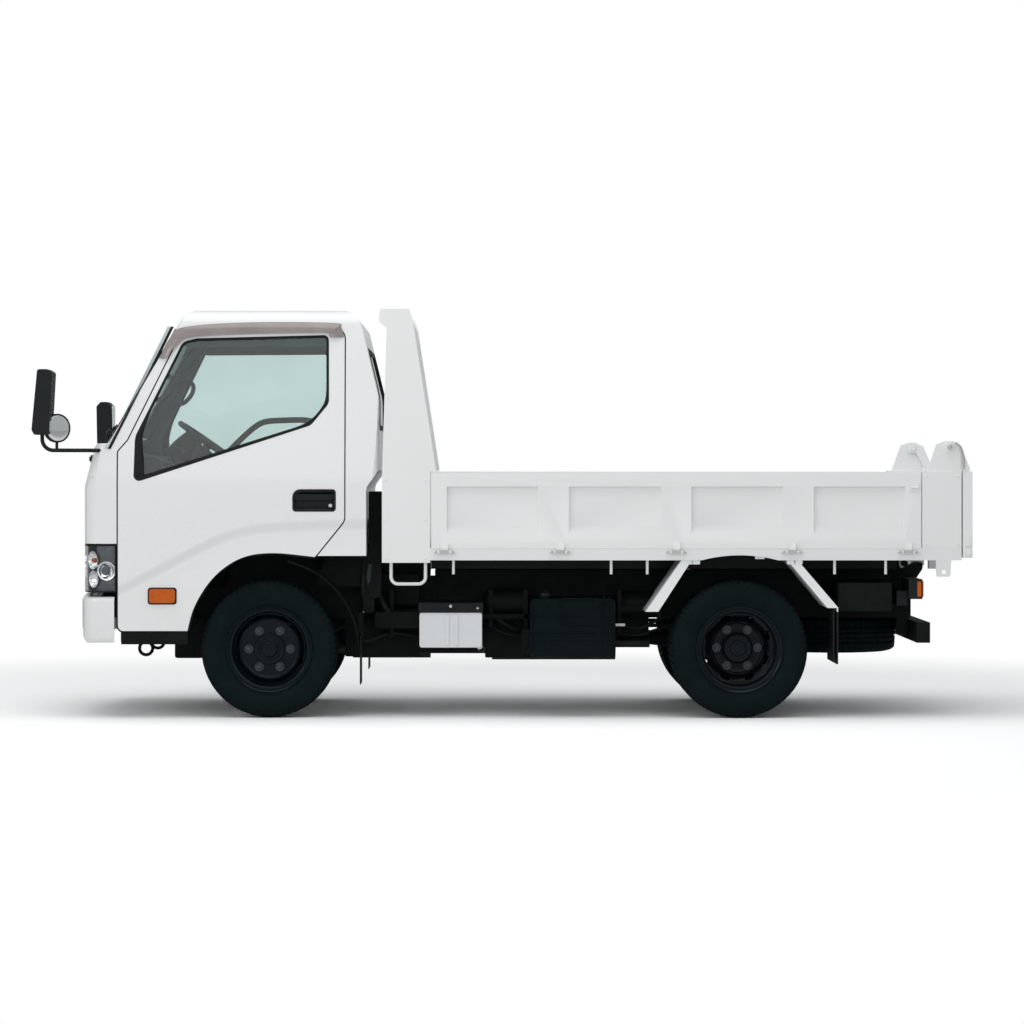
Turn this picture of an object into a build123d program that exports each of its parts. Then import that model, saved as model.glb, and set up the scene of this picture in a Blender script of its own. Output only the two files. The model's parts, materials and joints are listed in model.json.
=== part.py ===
from build123d import *
import math
import os

os.makedirs("parts", exist_ok=True)

# Lengths in mm. While modelling, x = 0 is the front axle and -x is towards the cab's front; save()
# then moves each node so that the origin lies under the middle of the whole truck.
# y < 0 is the truck's left, z = 0 is the road.

# ---- driving dimensions: whole truck ----
WHEELBASE = 2525.0
BODY_HALF = 847.5
MIRROR_FRONT = -1242.0
TAILGATE_REAR = WHEELBASE + 1247.0
ORIGIN_X = (MIRROR_FRONT + TAILGATE_REAR) / 2.0
# how far cuts run past the sides
REACH = BODY_HALF + 60.0

# ---- wheels and axles ----
TYRE_R = 369.0
TYRE_W = 196.0
TYRE_BORE_R = 205.0
RIM_FLANGE_R = 231.0
RIM_WALL = 9.0
BEAD_SHARE = 0.74
FRONT_TRACK = 1400.0
REAR_TRACK = 1235.0
TWIN_PITCH = 226.0
STUD_PCD_R = 111.125
STUD_R = 9.0
STUD_COUNT = 6
# the right wheels stand turned from the left ones, as rolling wheels do
RIGHT_TURN = 30.0
HUB_R = 82.0
SPINDLE_R = 36.0
RUN_FIT = 0.06
KINGPIN_Y = 610.0
KINGPIN_R = 20.0
AXLE_EYE_R = 45.0
AXLE_EYE_Z = (332.0, 408.0)
FORK_THICK = 38.0
FORK_GAP = 2.0
REAR_TUBE_R = 55.0
DIFF_R = 150.0

# ---- frame ----
RAIL_OUTER = 350.0
RAIL_FLANGE = 60.0
RAIL_WALL = 7.0
RAIL_BOTTOM = 520.0
RAIL_TOP = 690.0
RAIL_FRONT = -935.0
RAIL_REAR = WHEELBASE + 975.0
SUBFRAME_TOP = 782.0
SPRING_Y = 330.0
SPRING_W = 60.0

# ---- cab ----
CAB_WALL = 45.0
DOOR_T = 60.0
DOOR_GAP = 7.0
GLASS_IN = 5.0
GLASS_T = 5.0
CAB_FLOOR_Z = 905.0
CAB_FLOOR_T = 30.0
FIRE_WALL_X = -925.0
PANEL_BOTTOM = 669.0
PANEL_TOP = 1418.0
SIDE_PANEL_BOTTOM = 872.0
CAB_HINGE_X = -1010.0
CAB_HINGE_Z = 600.0
CAB_PIN_R = 10.0
SEAT_FIT = 0.3
CAB_SLEEVE_R = 18.0
DOOR_HINGE_X = -778.0
DOOR_HINGE_Y = BODY_HALF - 10.5
DOOR_FRONT_X = -808.0

# ---- bed ----
BED_FRONT = 865.0
BED_REAR = TAILGATE_REAR - 59.0
SILL_BOTTOM = 848.0
SILL_TOP = 914.0
SIDE_TOP = 1319.0
SIDE_T = 42.0
SIDE_GAP = 6.0
FLOOR_T = 12.0
BED_HINGE_X = RAIL_REAR + 40.0
BED_HINGE_Z = 800.0
GUARD_FRONT = 607.0
POST_Y = 120.0
REAR_POST_FRONT = BED_REAR - 211.0
TAIL_HINGE_X = BED_REAR - 63.0
TAIL_HINGE_Z = 1456.0
BOARD_HINGE_Y = BODY_HALF + 12.5
BOARD_HINGE_Z = 890.0
BOARD_HINGE_R = 8.0
BOARD_PIN_R = 4.0

# ---- hoist ----
HOIST_FOOT = (1250.0, 600.0)
HOIST_EYE = (WHEELBASE - 175.0, 800.0)
BARREL_R = 58.0
ROD_R = 30.0
BARREL_LEN = 930.0
HOIST_PIN_R = 16.0


# ---- small helpers ----
def save(node, shape):
    """Write one node, moved from the front-axle frame to the truck's own frame."""
    solids = [Pos(-ORIGIN_X, 0, 0) * solid for solid in shape.solids()]
    body = solids[0] if len(solids) == 1 else Compound(solids)
    body.label = node
    export_step(body, f"parts/{node}.step")


def box(x0, x1, y0, y1, z0, z1):
    return Pos((x0 + x1) / 2, (y0 + y1) / 2, (z0 + z1) / 2) * Box(x1 - x0, y1 - y0, z1 - z0)


def outline(points, radii):
    """Closed face through the points, its corners rounded by one radius or a list."""
    if radii:
        return make_face(FilletPolyline(*points, radius=radii, close=True))
    return make_face(Polyline(*points, close=True))


def side_prism(points, y0, y1, radii=0):
    """An outline in x, z carried from y0 to y1."""
    return Pos(0, y0, 0) * extrude(Plane.XZ * outline(points, radii), amount=-(y1 - y0))


def cross_prism(points, x0, x1, radii=0):
    """An outline in y, z carried from x0 to x1."""
    return Pos(x0, 0, 0) * extrude(Plane.YZ * outline(points, radii), amount=x1 - x0)


def plan_prism(points, z0, z1, radii=0):
    """An outline in x, y carried from z0 to z1."""
    return Pos(0, 0, z0) * extrude(outline(points, radii), amount=z1 - z0)


def rod_y(x, z, radius, y0, y1):
    return Pos(x, (y0 + y1) / 2, z) * Rot(90, 0, 0) * Cylinder(radius, y1 - y0)


def rod_x(y, z, radius, x0, x1):
    return Pos((x0 + x1) / 2, y, z) * Rot(0, 90, 0) * Cylinder(radius, x1 - x0)


def rod_z(x, y, radius, z0, z1):
    return Pos(x, y, (z0 + z1) / 2) * Cylinder(radius, z1 - z0)


def tube_path(points, radius, bends):
    """A round bar along straight runs joined by arcs."""
    path = FilletPolyline(*points, radius=bends)
    start = Plane(path @ 0, z_dir=path % 0)
    return sweep(start * Circle(radius), path=path)


def both_sides(shape):
    return shape + mirror(shape, about=Plane.XZ)


def ring_profile(points):
    """Revolve an outline of radius and y about the wheel's axle."""
    return revolve(make_face(Polyline(*points, close=True)), axis=Axis.Y)


def at_wheel(shape, x, y):
    return Pos(x, y, TYRE_R) * shape


# ---- wheels: profiles in radius and y, the outer face towards -y ----
def tyre():
    half = TYRE_W / 2
    bead = half * BEAD_SHARE
    profile = (
        (TYRE_BORE_R, -bead),
        (TYRE_BORE_R + 30, -bead),
        (TYRE_R - 82, -half),
        (TYRE_R - 40, -half * 0.95),
        (TYRE_R - 13, -half * 0.82),
        (TYRE_R - 4, -half * 0.70),
        (TYRE_R, -half * 0.40),
        (TYRE_R, half * 0.40),
        (TYRE_R - 4, half * 0.70),
        (TYRE_R - 13, half * 0.82),
        (TYRE_R - 40, half * 0.95),
        (TYRE_R - 82, half),
        (TYRE_BORE_R + 30, bead),
        (TYRE_BORE_R, bead),
    )
    return ring_profile(profile)


def rim_barrel():
    half = TYRE_W / 2 * BEAD_SHARE
    lip = half + RIM_WALL
    profile = (
        (TYRE_BORE_R - RIM_WALL, -lip),
        (RIM_FLANGE_R, -lip),
        (RIM_FLANGE_R, -half),
        (TYRE_BORE_R, -half),
        (TYRE_BORE_R, half),
        (RIM_FLANGE_R, half),
        (RIM_FLANGE_R, lip),
        (TYRE_BORE_R - RIM_WALL, lip),
    )
    return ring_profile(profile)


def disc(disc_y, dish, hand_holes):
    """A wheel disc: a flat stud ring at disc_y and a cone back to the barrel."""
    inner = TYRE_BORE_R - RIM_WALL
    ring_r = STUD_PCD_R + 45
    profile = (
        (SPINDLE_R + 20, disc_y),
        (ring_r, disc_y),
        (inner, disc_y + dish),
        (inner, disc_y + dish + RIM_WALL),
        (ring_r, disc_y + RIM_WALL),
        (SPINDLE_R + 20, disc_y + RIM_WALL),
    )
    plate = ring_profile(profile)
    hole_r = (ring_r + inner) / 2 + 4
    for index in range(hand_holes):
        turn = Rot(0, 360.0 / hand_holes * (index + 0.5), 0)
        plate -= turn * rod_y(hole_r, 0, 15, disc_y - 60, disc_y + 60)
    return plate


def wheel_studs(disc_y):
    studs = []
    for index in range(STUD_COUNT):
        turn = Rot(0, 360.0 / STUD_COUNT * index, 0)
        nut = rod_y(STUD_PCD_R, 0, 17, disc_y - 22, disc_y)
        stud = rod_y(STUD_PCD_R, 0, STUD_R, disc_y - 34, disc_y - 22)
        studs.append(turn * (nut + stud))
    return studs


def front_wheel_rim():
    disc_y = -52.0
    rim = rim_barrel() + disc(disc_y, 20.0, 8)
    hub = rod_y(0, 0, HUB_R, disc_y - 18, 9)
    cap = rod_y(0, 0, 42, disc_y - 40, disc_y - 18)
    rim += hub + cap
    for stud in wheel_studs(disc_y):
        rim += stud
    return rim - rod_y(0, 0, SPINDLE_R + RUN_FIT, disc_y + 10, 30)


def twin_rims():
    """Two barrels back to back on one hub: the outer disc faces in, so its dish is deep."""
    outer_y = -TWIN_PITCH / 2
    outer = Pos(0, outer_y, 0) * rim_barrel()
    inner = Pos(0, -outer_y, 0) * rim_barrel()
    disc_y = -9.0
    rims = outer + inner + disc(disc_y, -32.0, 8) + mirror(disc(disc_y, -32.0, 8), about=Plane.XZ)
    hub = rod_y(0, 0, HUB_R, disc_y - 62, 120)
    flange = rod_y(0, 0, 75, disc_y - 74, disc_y - 62)
    rims += hub + flange + rod_y(0, 0, SPINDLE_R + 21, disc_y, -disc_y)
    for stud in wheel_studs(disc_y):
        rims += stud
    return rims - rod_y(0, 0, REAR_TUBE_R + RUN_FIT, disc_y - 40, 130)


front_tyre = at_wheel(tyre(), 0, -FRONT_TRACK / 2)
front_rim = at_wheel(front_wheel_rim(), 0, -FRONT_TRACK / 2)
save("tyre_front_left", front_tyre)
save("tyre_front_right", mirror(front_tyre, about=Plane.XZ))
save("rim_front_left", front_rim)
right_rim = Rot(0, RIGHT_TURN, 0) * mirror(front_wheel_rim(), about=Plane.XZ)
save("rim_front_right", at_wheel(right_rim, 0, FRONT_TRACK / 2))

twin_tyres = Pos(0, -TWIN_PITCH / 2, 0) * tyre() + Pos(0, TWIN_PITCH / 2, 0) * tyre()
rear_tyres = at_wheel(twin_tyres, WHEELBASE, -REAR_TRACK / 2)
rear_rims = at_wheel(twin_rims(), WHEELBASE, -REAR_TRACK / 2)
save("tyres_rear_left", rear_tyres)
save("tyres_rear_right", mirror(rear_tyres, about=Plane.XZ))
save("rims_rear_left", rear_rims)
right_rims = Rot(0, RIGHT_TURN, 0) * mirror(twin_rims(), about=Plane.XZ)
save("rims_rear_right", at_wheel(right_rims, WHEELBASE, REAR_TRACK / 2))


# ---- axles, knuckles and springs ----
def knuckle():
    low, high = AXLE_EYE_Z
    fork_low = low - FORK_GAP - FORK_THICK
    fork_high = high + FORK_GAP + FORK_THICK
    web_y = -KINGPIN_Y - AXLE_EYE_R - 8
    shape = rod_z(0, -KINGPIN_Y, KINGPIN_R, fork_low, fork_high)
    for z0 in (fork_low, high + FORK_GAP):
        shape += rod_z(0, -KINGPIN_Y, AXLE_EYE_R, z0, z0 + FORK_THICK)
        shape += box(-AXLE_EYE_R, AXLE_EYE_R, web_y, -KINGPIN_Y, z0, z0 + FORK_THICK)
    shape += box(-AXLE_EYE_R, AXLE_EYE_R, web_y - 22, web_y, fork_low, fork_high)
    shape += rod_y(0, TYRE_R, SPINDLE_R, -FRONT_TRACK / 2 - 38, web_y)
    return shape


def front_axle():
    low, high = AXLE_EYE_Z
    reach = KINGPIN_Y - AXLE_EYE_R + 8
    beam = box(-38, 38, -reach, reach, low + 4, high - 4)
    for side in (-1, 1):
        beam += rod_z(0, side * KINGPIN_Y, AXLE_EYE_R, low, high)
        beam -= rod_z(0, side * KINGPIN_Y, KINGPIN_R + RUN_FIT, low - 1, high + 1)
    for side in (-1, 1):
        seat_low, seat_high = side * SPRING_Y - SPRING_W / 2, side * SPRING_Y + SPRING_W / 2
        beam += box(-60, 60, seat_low, seat_high, high - 4, high + 6)
    return beam


def leaf_spring(x_mid, reach_front, reach_back, z_mid, leaves):
    """Leaves stacked under a main leaf that bows up to its two eyes on the rail, as one stepped outline."""
    y0, y1 = -SPRING_Y - SPRING_W / 2, -SPRING_Y + SPRING_W / 2
    rise = RAIL_BOTTOM - SPRING_EYE_DROP - z_mid
    shares = [1 - LEAF_STEP * index for index in range(leaves)] + [0.0]
    tops = [(share, z_mid + rise * share ** 2) for share in shares]
    under = []
    for index in range(leaves):
        drop = LEAF_T * (index + 1)
        for share, top in tops[index:index + 2]:
            under.append((share, top - drop))
    points = [(x_mid - reach_front * share, z) for share, z in tops]
    points += [(x_mid + reach_back * share, z) for share, z in reversed(tops[:-1])]
    points += [(x_mid + reach_back * share, z) for share, z in under]
    points += [(x_mid - reach_front * share, z) for share, z in reversed(under[:-1])]
    shape = side_prism(points, y0, y1)
    for eye_x in (x_mid - reach_front, x_mid + reach_back):
        eye_z = z_mid + rise
        shape += rod_y(eye_x, eye_z, 24, y0, y1)
        shape += box(eye_x - 30, eye_x + 30, y0 - 8, y1 + 8, eye_z, RAIL_BOTTOM)
    return both_sides(shape)


SPRING_EYE_DROP = 34.0
LEAF_STEP = 0.17
LEAF_T = 9.0
LEAVES_FRONT = 5
LEAVES_REAR = 6
SPRING_SEAT = 6.0
FRONT_SPRING_Z = AXLE_EYE_Z[1] + SPRING_SEAT + LEAVES_FRONT * LEAF_T
REAR_SPRING_Z = TYRE_R + REAR_TUBE_R + SPRING_SEAT + LEAVES_REAR * LEAF_T

save("front_axle_beam", front_axle())
save("knuckle_left", knuckle())
save("knuckle_right", mirror(knuckle(), about=Plane.XZ))
front_springs = leaf_spring(0.0, 530.0, 530.0, FRONT_SPRING_Z, LEAVES_FRONT)
rear_springs = leaf_spring(WHEELBASE, 600.0, 295.0, REAR_SPRING_Z, LEAVES_REAR)
save("leaf_springs", front_springs + rear_springs)


def rear_axle():
    reach = REAR_TRACK / 2 + 9.0 + 30
    housing = rod_y(WHEELBASE, TYRE_R, REAR_TUBE_R, -reach, reach)
    housing += Pos(WHEELBASE, 0, TYRE_R) * Sphere(DIFF_R)
    housing += rod_x(0, TYRE_R, 70, WHEELBASE - DIFF_R - 60, WHEELBASE - 60)
    for side in (-1, 1):
        pad_low, pad_high = side * SPRING_Y - SPRING_W / 2, side * SPRING_Y + SPRING_W / 2
        pad_top = TYRE_R + REAR_TUBE_R + 6
        housing += box(WHEELBASE - 60, WHEELBASE + 60, pad_low, pad_high, TYRE_R, pad_top)
    return housing


save("rear_axle_housing", rear_axle())


# ---- frame rails, with cross members and the tipping subframe ----
def channel_rail(side):
    outer = side * RAIL_OUTER
    inner = side * (RAIL_OUTER - RAIL_FLANGE)
    y0, y1 = min(outer, inner), max(outer, inner)
    rail = box(RAIL_FRONT, RAIL_REAR, y0, y1, RAIL_BOTTOM, RAIL_TOP)
    hollow0 = y0 if side > 0 else y0 + RAIL_WALL
    hollow1 = y1 - RAIL_WALL if side > 0 else y1
    rail -= box(RAIL_FRONT, RAIL_REAR, hollow0, hollow1, RAIL_BOTTOM + RAIL_WALL, RAIL_TOP - RAIL_WALL)
    return rail


# x of each cross member and the height of its underside
# x of the middle and z of the underside of each
CROSS_MEMBERS = (
    (-900.0, 520.0), (640.0, 620.0), (1060.0, 620.0), (WHEELBASE - 565.0, 520.0), (RAIL_REAR - 500.0, 525.0),
)
CROSS_MEMBER_H = 62.0


def frame():
    shape = channel_rail(-1) + channel_rail(1)
    inner = RAIL_OUTER - RAIL_WALL
    for x, low in CROSS_MEMBERS:
        shape += box(x - 35, x + 35, -inner, inner, low, low + CROSS_MEMBER_H)
    sub_front = BED_FRONT + 20
    for side in (-1, 1):
        y0, y1 = sorted((side * RAIL_OUTER, side * (RAIL_OUTER - RAIL_FLANGE)))
        shape += box(sub_front, RAIL_REAR, y0, y1, RAIL_TOP, SUBFRAME_TOP)
    shape += box(sub_front, sub_front + 60, -inner, inner, RAIL_TOP, SUBFRAME_TOP)
    shape += box(RAIL_REAR - 60, RAIL_REAR, -inner, inner, RAIL_BOTTOM, SUBFRAME_TOP - 20)
    return shape


def bed_hinge_lugs():
    lug = side_prism(
        ((RAIL_REAR - 70, RAIL_TOP), (RAIL_REAR, RAIL_TOP), (BED_HINGE_X + 24, BED_HINGE_Z - 14),
         (BED_HINGE_X + 24, BED_HINGE_Z + 24), (BED_HINGE_X - 24, BED_HINGE_Z + 24),
         (RAIL_REAR - 70, SUBFRAME_TOP)),
        -RAIL_OUTER, -RAIL_OUTER + 20)
    pin = rod_y(BED_HINGE_X, BED_HINGE_Z, 18, -RAIL_OUTER, -RAIL_OUTER + RAIL_FLANGE + 24)
    return both_sides(lug + pin)


def cab_hinge_brackets():
    arm = side_prism(
        ((RAIL_FRONT - 20, RAIL_BOTTOM), (RAIL_FRONT + 80, RAIL_BOTTOM), (RAIL_FRONT + 80, RAIL_TOP - 60),
         (CAB_HINGE_X + 14, CAB_HINGE_Z + 16), (CAB_HINGE_X - 16, CAB_HINGE_Z + 16),
         (CAB_HINGE_X - 16, CAB_HINGE_Z - 16)),
        -RAIL_OUTER, -RAIL_OUTER + 16)
    pin = rod_y(CAB_HINGE_X, CAB_HINGE_Z, CAB_PIN_R, -RAIL_OUTER, -RAIL_OUTER + 64)
    return both_sides(arm + pin)


def hoist_foot():
    """A cross beam with two lugs that carry the barrel's foot pin."""
    foot_x, foot_z = HOIST_FOOT
    inner = RAIL_OUTER - RAIL_WALL
    beam = box(foot_x - 60, foot_x - 5, -inner, inner, foot_z + 55, RAIL_TOP)
    for side in (-1, 1):
        y0, y1 = sorted((side * 42.0, side * 58.0))
        beam += box(foot_x - 30, foot_x + 28, y0, y1, foot_z - 28, RAIL_TOP)
    return beam + rod_y(foot_x, foot_z, HOIST_PIN_R, -58, 58)


CAB_REST_X = 485.0
TOW_RING_X = -702.0
TOW_RING_Z = 352.0
TOW_RING_R = 36.0


def cab_rest():
    """An arch across the rails on which the back of the cab rests."""
    x0, x1 = CAB_REST_X - 25, CAB_REST_X + 25
    arch = box(x0, x1, -RAIL_OUTER, RAIL_OUTER, 820, SIDE_PANEL_BOTTOM - SEAT_FIT)
    for side in (-1, 1):
        y0, y1 = sorted((side * RAIL_OUTER, side * (RAIL_OUTER - RAIL_FLANGE)))
        arch += box(x0, x1, y0, y1, RAIL_TOP, 830)
    return arch


def tow_rings():
    plate = box(TOW_RING_X - 28, TOW_RING_X + 28, -RAIL_OUTER - 12, -RAIL_OUTER, TOW_RING_Z + 30, 580)
    return both_sides(plate + Pos(TOW_RING_X, -RAIL_OUTER - 6, TOW_RING_Z) * Rot(90, 0, 0) * Torus(TOW_RING_R, 9))


save("frame_rails", frame() + bed_hinge_lugs() + cab_hinge_brackets() + hoist_foot() + cab_rest() + tow_rings())


# ---- front bumper with its fog lamp recesses ----
BUMPER_TOP = 653.0
BUMPER_BOTTOM = 392.0
BUMPER_FRONT = -1060.0
BUMPER_BULGE = 55.0
BUMPER_END = -828.0
BUMPER_WALL = 12.0
BUMPER_LIP = 34.0
BUMPER_TOP_R = 25.0
BUMPER_LOW_R = 45.0


def bumper_plan(inset):
    half = BODY_HALF - inset
    front_mid = BUMPER_FRONT + inset
    front_side = BUMPER_FRONT + BUMPER_BULGE + 25 + inset
    with BuildSketch() as plan:
        with BuildLine():
            ThreePointArc((front_side, -half), (front_mid, 0), (front_side, half))
            Line((front_side, half), (BUMPER_END, half))
            Line((BUMPER_END, half), (BUMPER_END, -half))
            Line((BUMPER_END, -half), (front_side, -half))
        make_face()
        corners = plan.vertices().sort_by(Axis.X)[:2]
        fillet(corners, radius=90 - inset)
    return plan.sketch


def bumper():
    height = BUMPER_TOP - BUMPER_BOTTOM
    outer = Pos(0, 0, BUMPER_BOTTOM) * extrude(bumper_plan(0.0), amount=height)
    top_edges = outer.edges().group_by(Axis.Z)[-1].sort_by(Axis.X)[:-1]
    outer = fillet(top_edges, radius=BUMPER_TOP_R)
    low_edges = outer.edges().group_by(Axis.Z)[0].sort_by(Axis.X)[:-1]
    outer = fillet(low_edges, radius=BUMPER_LOW_R)
    inner = Pos(0, 0, BUMPER_BOTTOM - 1) * extrude(bumper_plan(BUMPER_WALL), amount=height - BUMPER_TOP_R + 1)
    lip_hole = Pos(0, 0, BUMPER_BOTTOM - 1) * extrude(bumper_plan(BUMPER_LIP), amount=height + 2)
    shape = outer - inner - lip_hole
    shape -= box(BUMPER_FRONT - 20, BUMPER_FRONT + 200, -330, 330, BUMPER_BOTTOM + 62, BUMPER_BOTTOM + 150)
    lamp_z = BUMPER_BOTTOM + 100
    shape -= both_sides(rod_x(-640, lamp_z, 52, BUMPER_FRONT - 20, BUMPER_FRONT + 200))
    notch_y0, notch_y1 = -RAIL_OUTER + 16, -RAIL_OUTER + 70
    shape -= both_sides(box(CAB_HINGE_X - 26, BUMPER_END, notch_y0, notch_y1, BUMPER_BOTTOM - 2, BUMPER_TOP + 2))
    stay_z = BUMPER_BOTTOM + 175
    stay = box(BUMPER_FRONT + 12, CROSS_MEMBERS[0][0] - 35, -250, -210, stay_z, stay_z + 40)
    return shape + both_sides(stay)


save("front_bumper", bumper())


# ---- the cab's outer form: prisms of lines and arcs, intersected ----
# each front row: x and z of the line's low and high end at the middle of the cab, bulge, corner radius
FRONT_LEANS = (
    ((-1046.0, 300.0), (-1050.0, 1240.0), 78.0, 100.0),
    ((-1050.0, 1240.0), (-1004.0, 1425.0), 78.0, 95.0),
)
SCREEN_LEAN = ((-926.0, 1475.0), (-545.0, 2110.0), 62.0, 80.0)
COWL_SLOPE = ((-1004.0, 1425.0), (-926.0, 1475.0))
# y, z and corner radius of the cab's cross section, right half from the bottom
CAB_SECTION = (
    (BODY_HALF - 5.5, 300.0, 0.0), (BODY_HALF, 1000.0, 900.0), (BODY_HALF, 1290.0, 500.0), (BODY_HALF - 85.5, 2190.0, 105.0),
    (0.0, 2204.0, 6000.0),
)
CAB_BACK = 587.0
# x, z and corner radius of the cab's roof and rear wall, from the front bottom
CAB_REAR = (
    (-1300.0, 300.0, 0.0), (522.0, 300.0, 0.0), (522.0, 1238.0, 60.0), (CAB_BACK, 1330.0, 60.0),
    (CAB_BACK, 1728.0, 300.0), (492.0, 2120.0, 60.0), (440.0, 2190.0, 90.0), (0.0, 2204.0, 3000.0),
    (-420.0, 2190.0, 120.0), (-700.0, 2010.0, 0.0), (-1300.0, 2010.0, 0.0),
)
REAR_CORNER_R = 75.0
ROOF_LEAN_Z = 2010.0


def lean_prism(row, inset):
    """A plan outline with a bulged front and round corners, carried along a leaning line."""
    (low_x, low_z), (high_x, high_z), bulge, corner = row
    length = math.hypot(high_x - low_x, high_z - low_z)
    along = ((high_x - low_x) / length, 0.0, (high_z - low_z) / length)
    plane = Plane(origin=(low_x, 0, low_z), x_dir=(along[2], 0.0, -along[0]), z_dir=along)
    half = BODY_HALF + 12 - inset
    back = 2400.0
    with BuildSketch() as plan:
        with BuildLine():
            ThreePointArc((bulge + inset, -half), (inset, 0), (bulge + inset, half))
            Line((bulge + inset, half), (back, half))
            Line((back, half), (back, -half))
            Line((back, -half), (bulge + inset, -half))
        make_face()
        fillet(plan.vertices().sort_by(Axis.X)[:2], radius=max(corner - inset, 20.0))
    return Pos(*[-2500.0 * part for part in along]) * extrude(plane * plan.sketch, amount=5000.0)


def inset_outline(face, inset):
    return offset(face, amount=-inset, kind=Kind.INTERSECTION) if inset else face


def cab_form(inset):
    right = [(y, z) for y, z, corner in CAB_SECTION]
    left = [(-y, z) for y, z in reversed(right[:-1])]
    corners = [corner for y, z, corner in CAB_SECTION]
    radii = corners + list(reversed(corners[:-1]))
    section = make_face(FilletPolyline(*(right + left), radius=radii, close=True))
    body = Pos(-1300, 0, 0) * extrude(Plane.YZ * inset_outline(section, inset), amount=2200.0)
    rear_points = [(x, z) for x, z, corner in CAB_REAR]
    rear_radii = [corner for x, z, corner in CAB_REAR]
    rear = make_face(FilletPolyline(*rear_points, radius=rear_radii, close=True))
    body &= Pos(0, -REACH, 0) * extrude(Plane.XZ * inset_outline(rear, inset), amount=-2 * REACH)
    back_half = BODY_HALF - inset
    back_x = CAB_BACK + 2 - inset
    back_plan = ((-1300, -back_half - 12), (back_x, -back_half - 12), (back_x, back_half + 12),
                 (-1300, back_half + 12))
    body &= plan_prism(back_plan, 0, 2400, [0.0, REAR_CORNER_R, REAR_CORNER_R, 0.0])
    lower = body
    for row in FRONT_LEANS:
        lower = lower & lean_prism(row, inset)
    (cowl_x0, cowl_z0), (cowl_x1, cowl_z1) = COWL_SLOPE
    slope = (cowl_z1 - cowl_z0) / (cowl_x1 - cowl_x0)
    drop = inset * 1.2
    lower &= side_prism(((-1300, 300), (700, 300), (700, cowl_z1 - drop), (cowl_x1, cowl_z1 - drop),
                         (-1300, cowl_z1 - drop + slope * (-1300 - cowl_x1))), -REACH, REACH)
    upper = body & lean_prism(SCREEN_LEAN, inset)
    return lower + (upper & box(-1300, 700, -REACH, REACH, 1300, 2400))


cab_outer = cab_form(0.0)
cab_inner = cab_form(CAB_WALL)
door_inner = cab_form(DOOR_T)
glass_outer = cab_form(GLASS_IN)
glass_inner = cab_form(GLASS_IN + GLASS_T)

# door outline, x and z with its corner radii, front bottom corner first
DOOR_POINTS = (
    (DOOR_FRONT_X, 469.0, 30.0), (-436.0, 469.0, 8.0), (-405.0, 600.0, 60.0), (-300.0, 765.0, 90.0),
    (-150.0, 870.0, 110.0), (20.0, 893.0, 60.0), (248.0, 866.0, 20.0), (405.0, 1060.0, 60.0),
    (405.0, 2098.0, 60.0), (-470.0, 2072.0, 90.0), (-755.0, 1490.0, 60.0), (DOOR_FRONT_X, 1430.0, 20.0),
)
# window opening, x and z with its corner radii
WINDOW_POINTS = (
    (-725.0, 1262.0, 30.0), (-718.0, 1510.0, 120.0), (-465.0, 2022.0, 60.0), (-390.0, 2040.0, 30.0),
    (320.0, 2058.0, 30.0), (322.0, 1690.0, 60.0), (225.0, 1572.0, 60.0),
)


def side_outline(table, grow=0.0):
    points = [(x, z) for x, z, corner in table]
    radii = [corner for x, z, corner in table]
    face = make_face(FilletPolyline(*points, radius=radii, close=True))
    if grow:
        face = offset(face, amount=grow, kind=Kind.ARC)
    return Pos(0, -BODY_HALF - 30, 0) * extrude(Plane.XZ * face, amount=-160.0)


WINDOW_FRAME = 12.0
door_block = side_outline(DOOR_POINTS)
door_opening = side_outline(DOOR_POINTS, DOOR_GAP)
window_hole = side_outline(WINDOW_POINTS)
glass_block = side_outline(WINDOW_POINTS, WINDOW_FRAME)
HANDLE_X = (127.0, 360.0)
HANDLE_Z = (1109.0, 1229.0)
HANDLE_DEPTH = 26.0


def door():
    shape = (cab_outer - door_inner) & door_block
    shape -= window_hole
    x0, x1 = HANDLE_X
    z0, z1 = HANDLE_Z
    recess_y = -BODY_HALF + HANDLE_DEPTH
    pocket = side_prism(((x0, z0), (x1, z0), (x1, z1), (x0, z1)), -BODY_HALF - 40, recess_y, 40.0)
    pocket_mid = (z0 + z1) / 2
    grip = side_prism(((x0 + 14, pocket_mid), (x1 - 14, pocket_mid), (x1 - 14, pocket_mid + 34),
                       (x0 + 14, pocket_mid + 34)), -BODY_HALF + 2, recess_y, 12.0)
    return shape - pocket, grip


def door_glass():
    return (glass_outer - glass_inner) & window_hole


door_left, handle_left = door()
glass_left = door_glass()
save("door_left", door_left)
save("door_right", mirror(door_left, about=Plane.XZ))
save("door_handle_left", handle_left)
save("door_handle_right", mirror(handle_left, about=Plane.XZ))
save("door_glass_left", glass_left)
save("door_glass_right", mirror(glass_left, about=Plane.XZ))

SIDE_LAMP_X = (-640.0, -501.0)
SIDE_LAMP_Z = (619.0, 694.0)


def side_lamp():
    """A turn lamp that stands on the door's lower skin."""
    (x0, x1), (z0, z1) = SIDE_LAMP_X, SIDE_LAMP_Z
    lamp = side_prism(((x0, z0), (x1, z0), (x1, z1), (x0, z1)), -BODY_HALF - 12, -BODY_HALF + 30, 14.0)
    return lamp - cab_outer


lamp_left = side_lamp()
save("side_lamp_left", lamp_left)
save("side_lamp_right", mirror(lamp_left, about=Plane.XZ))

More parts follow.
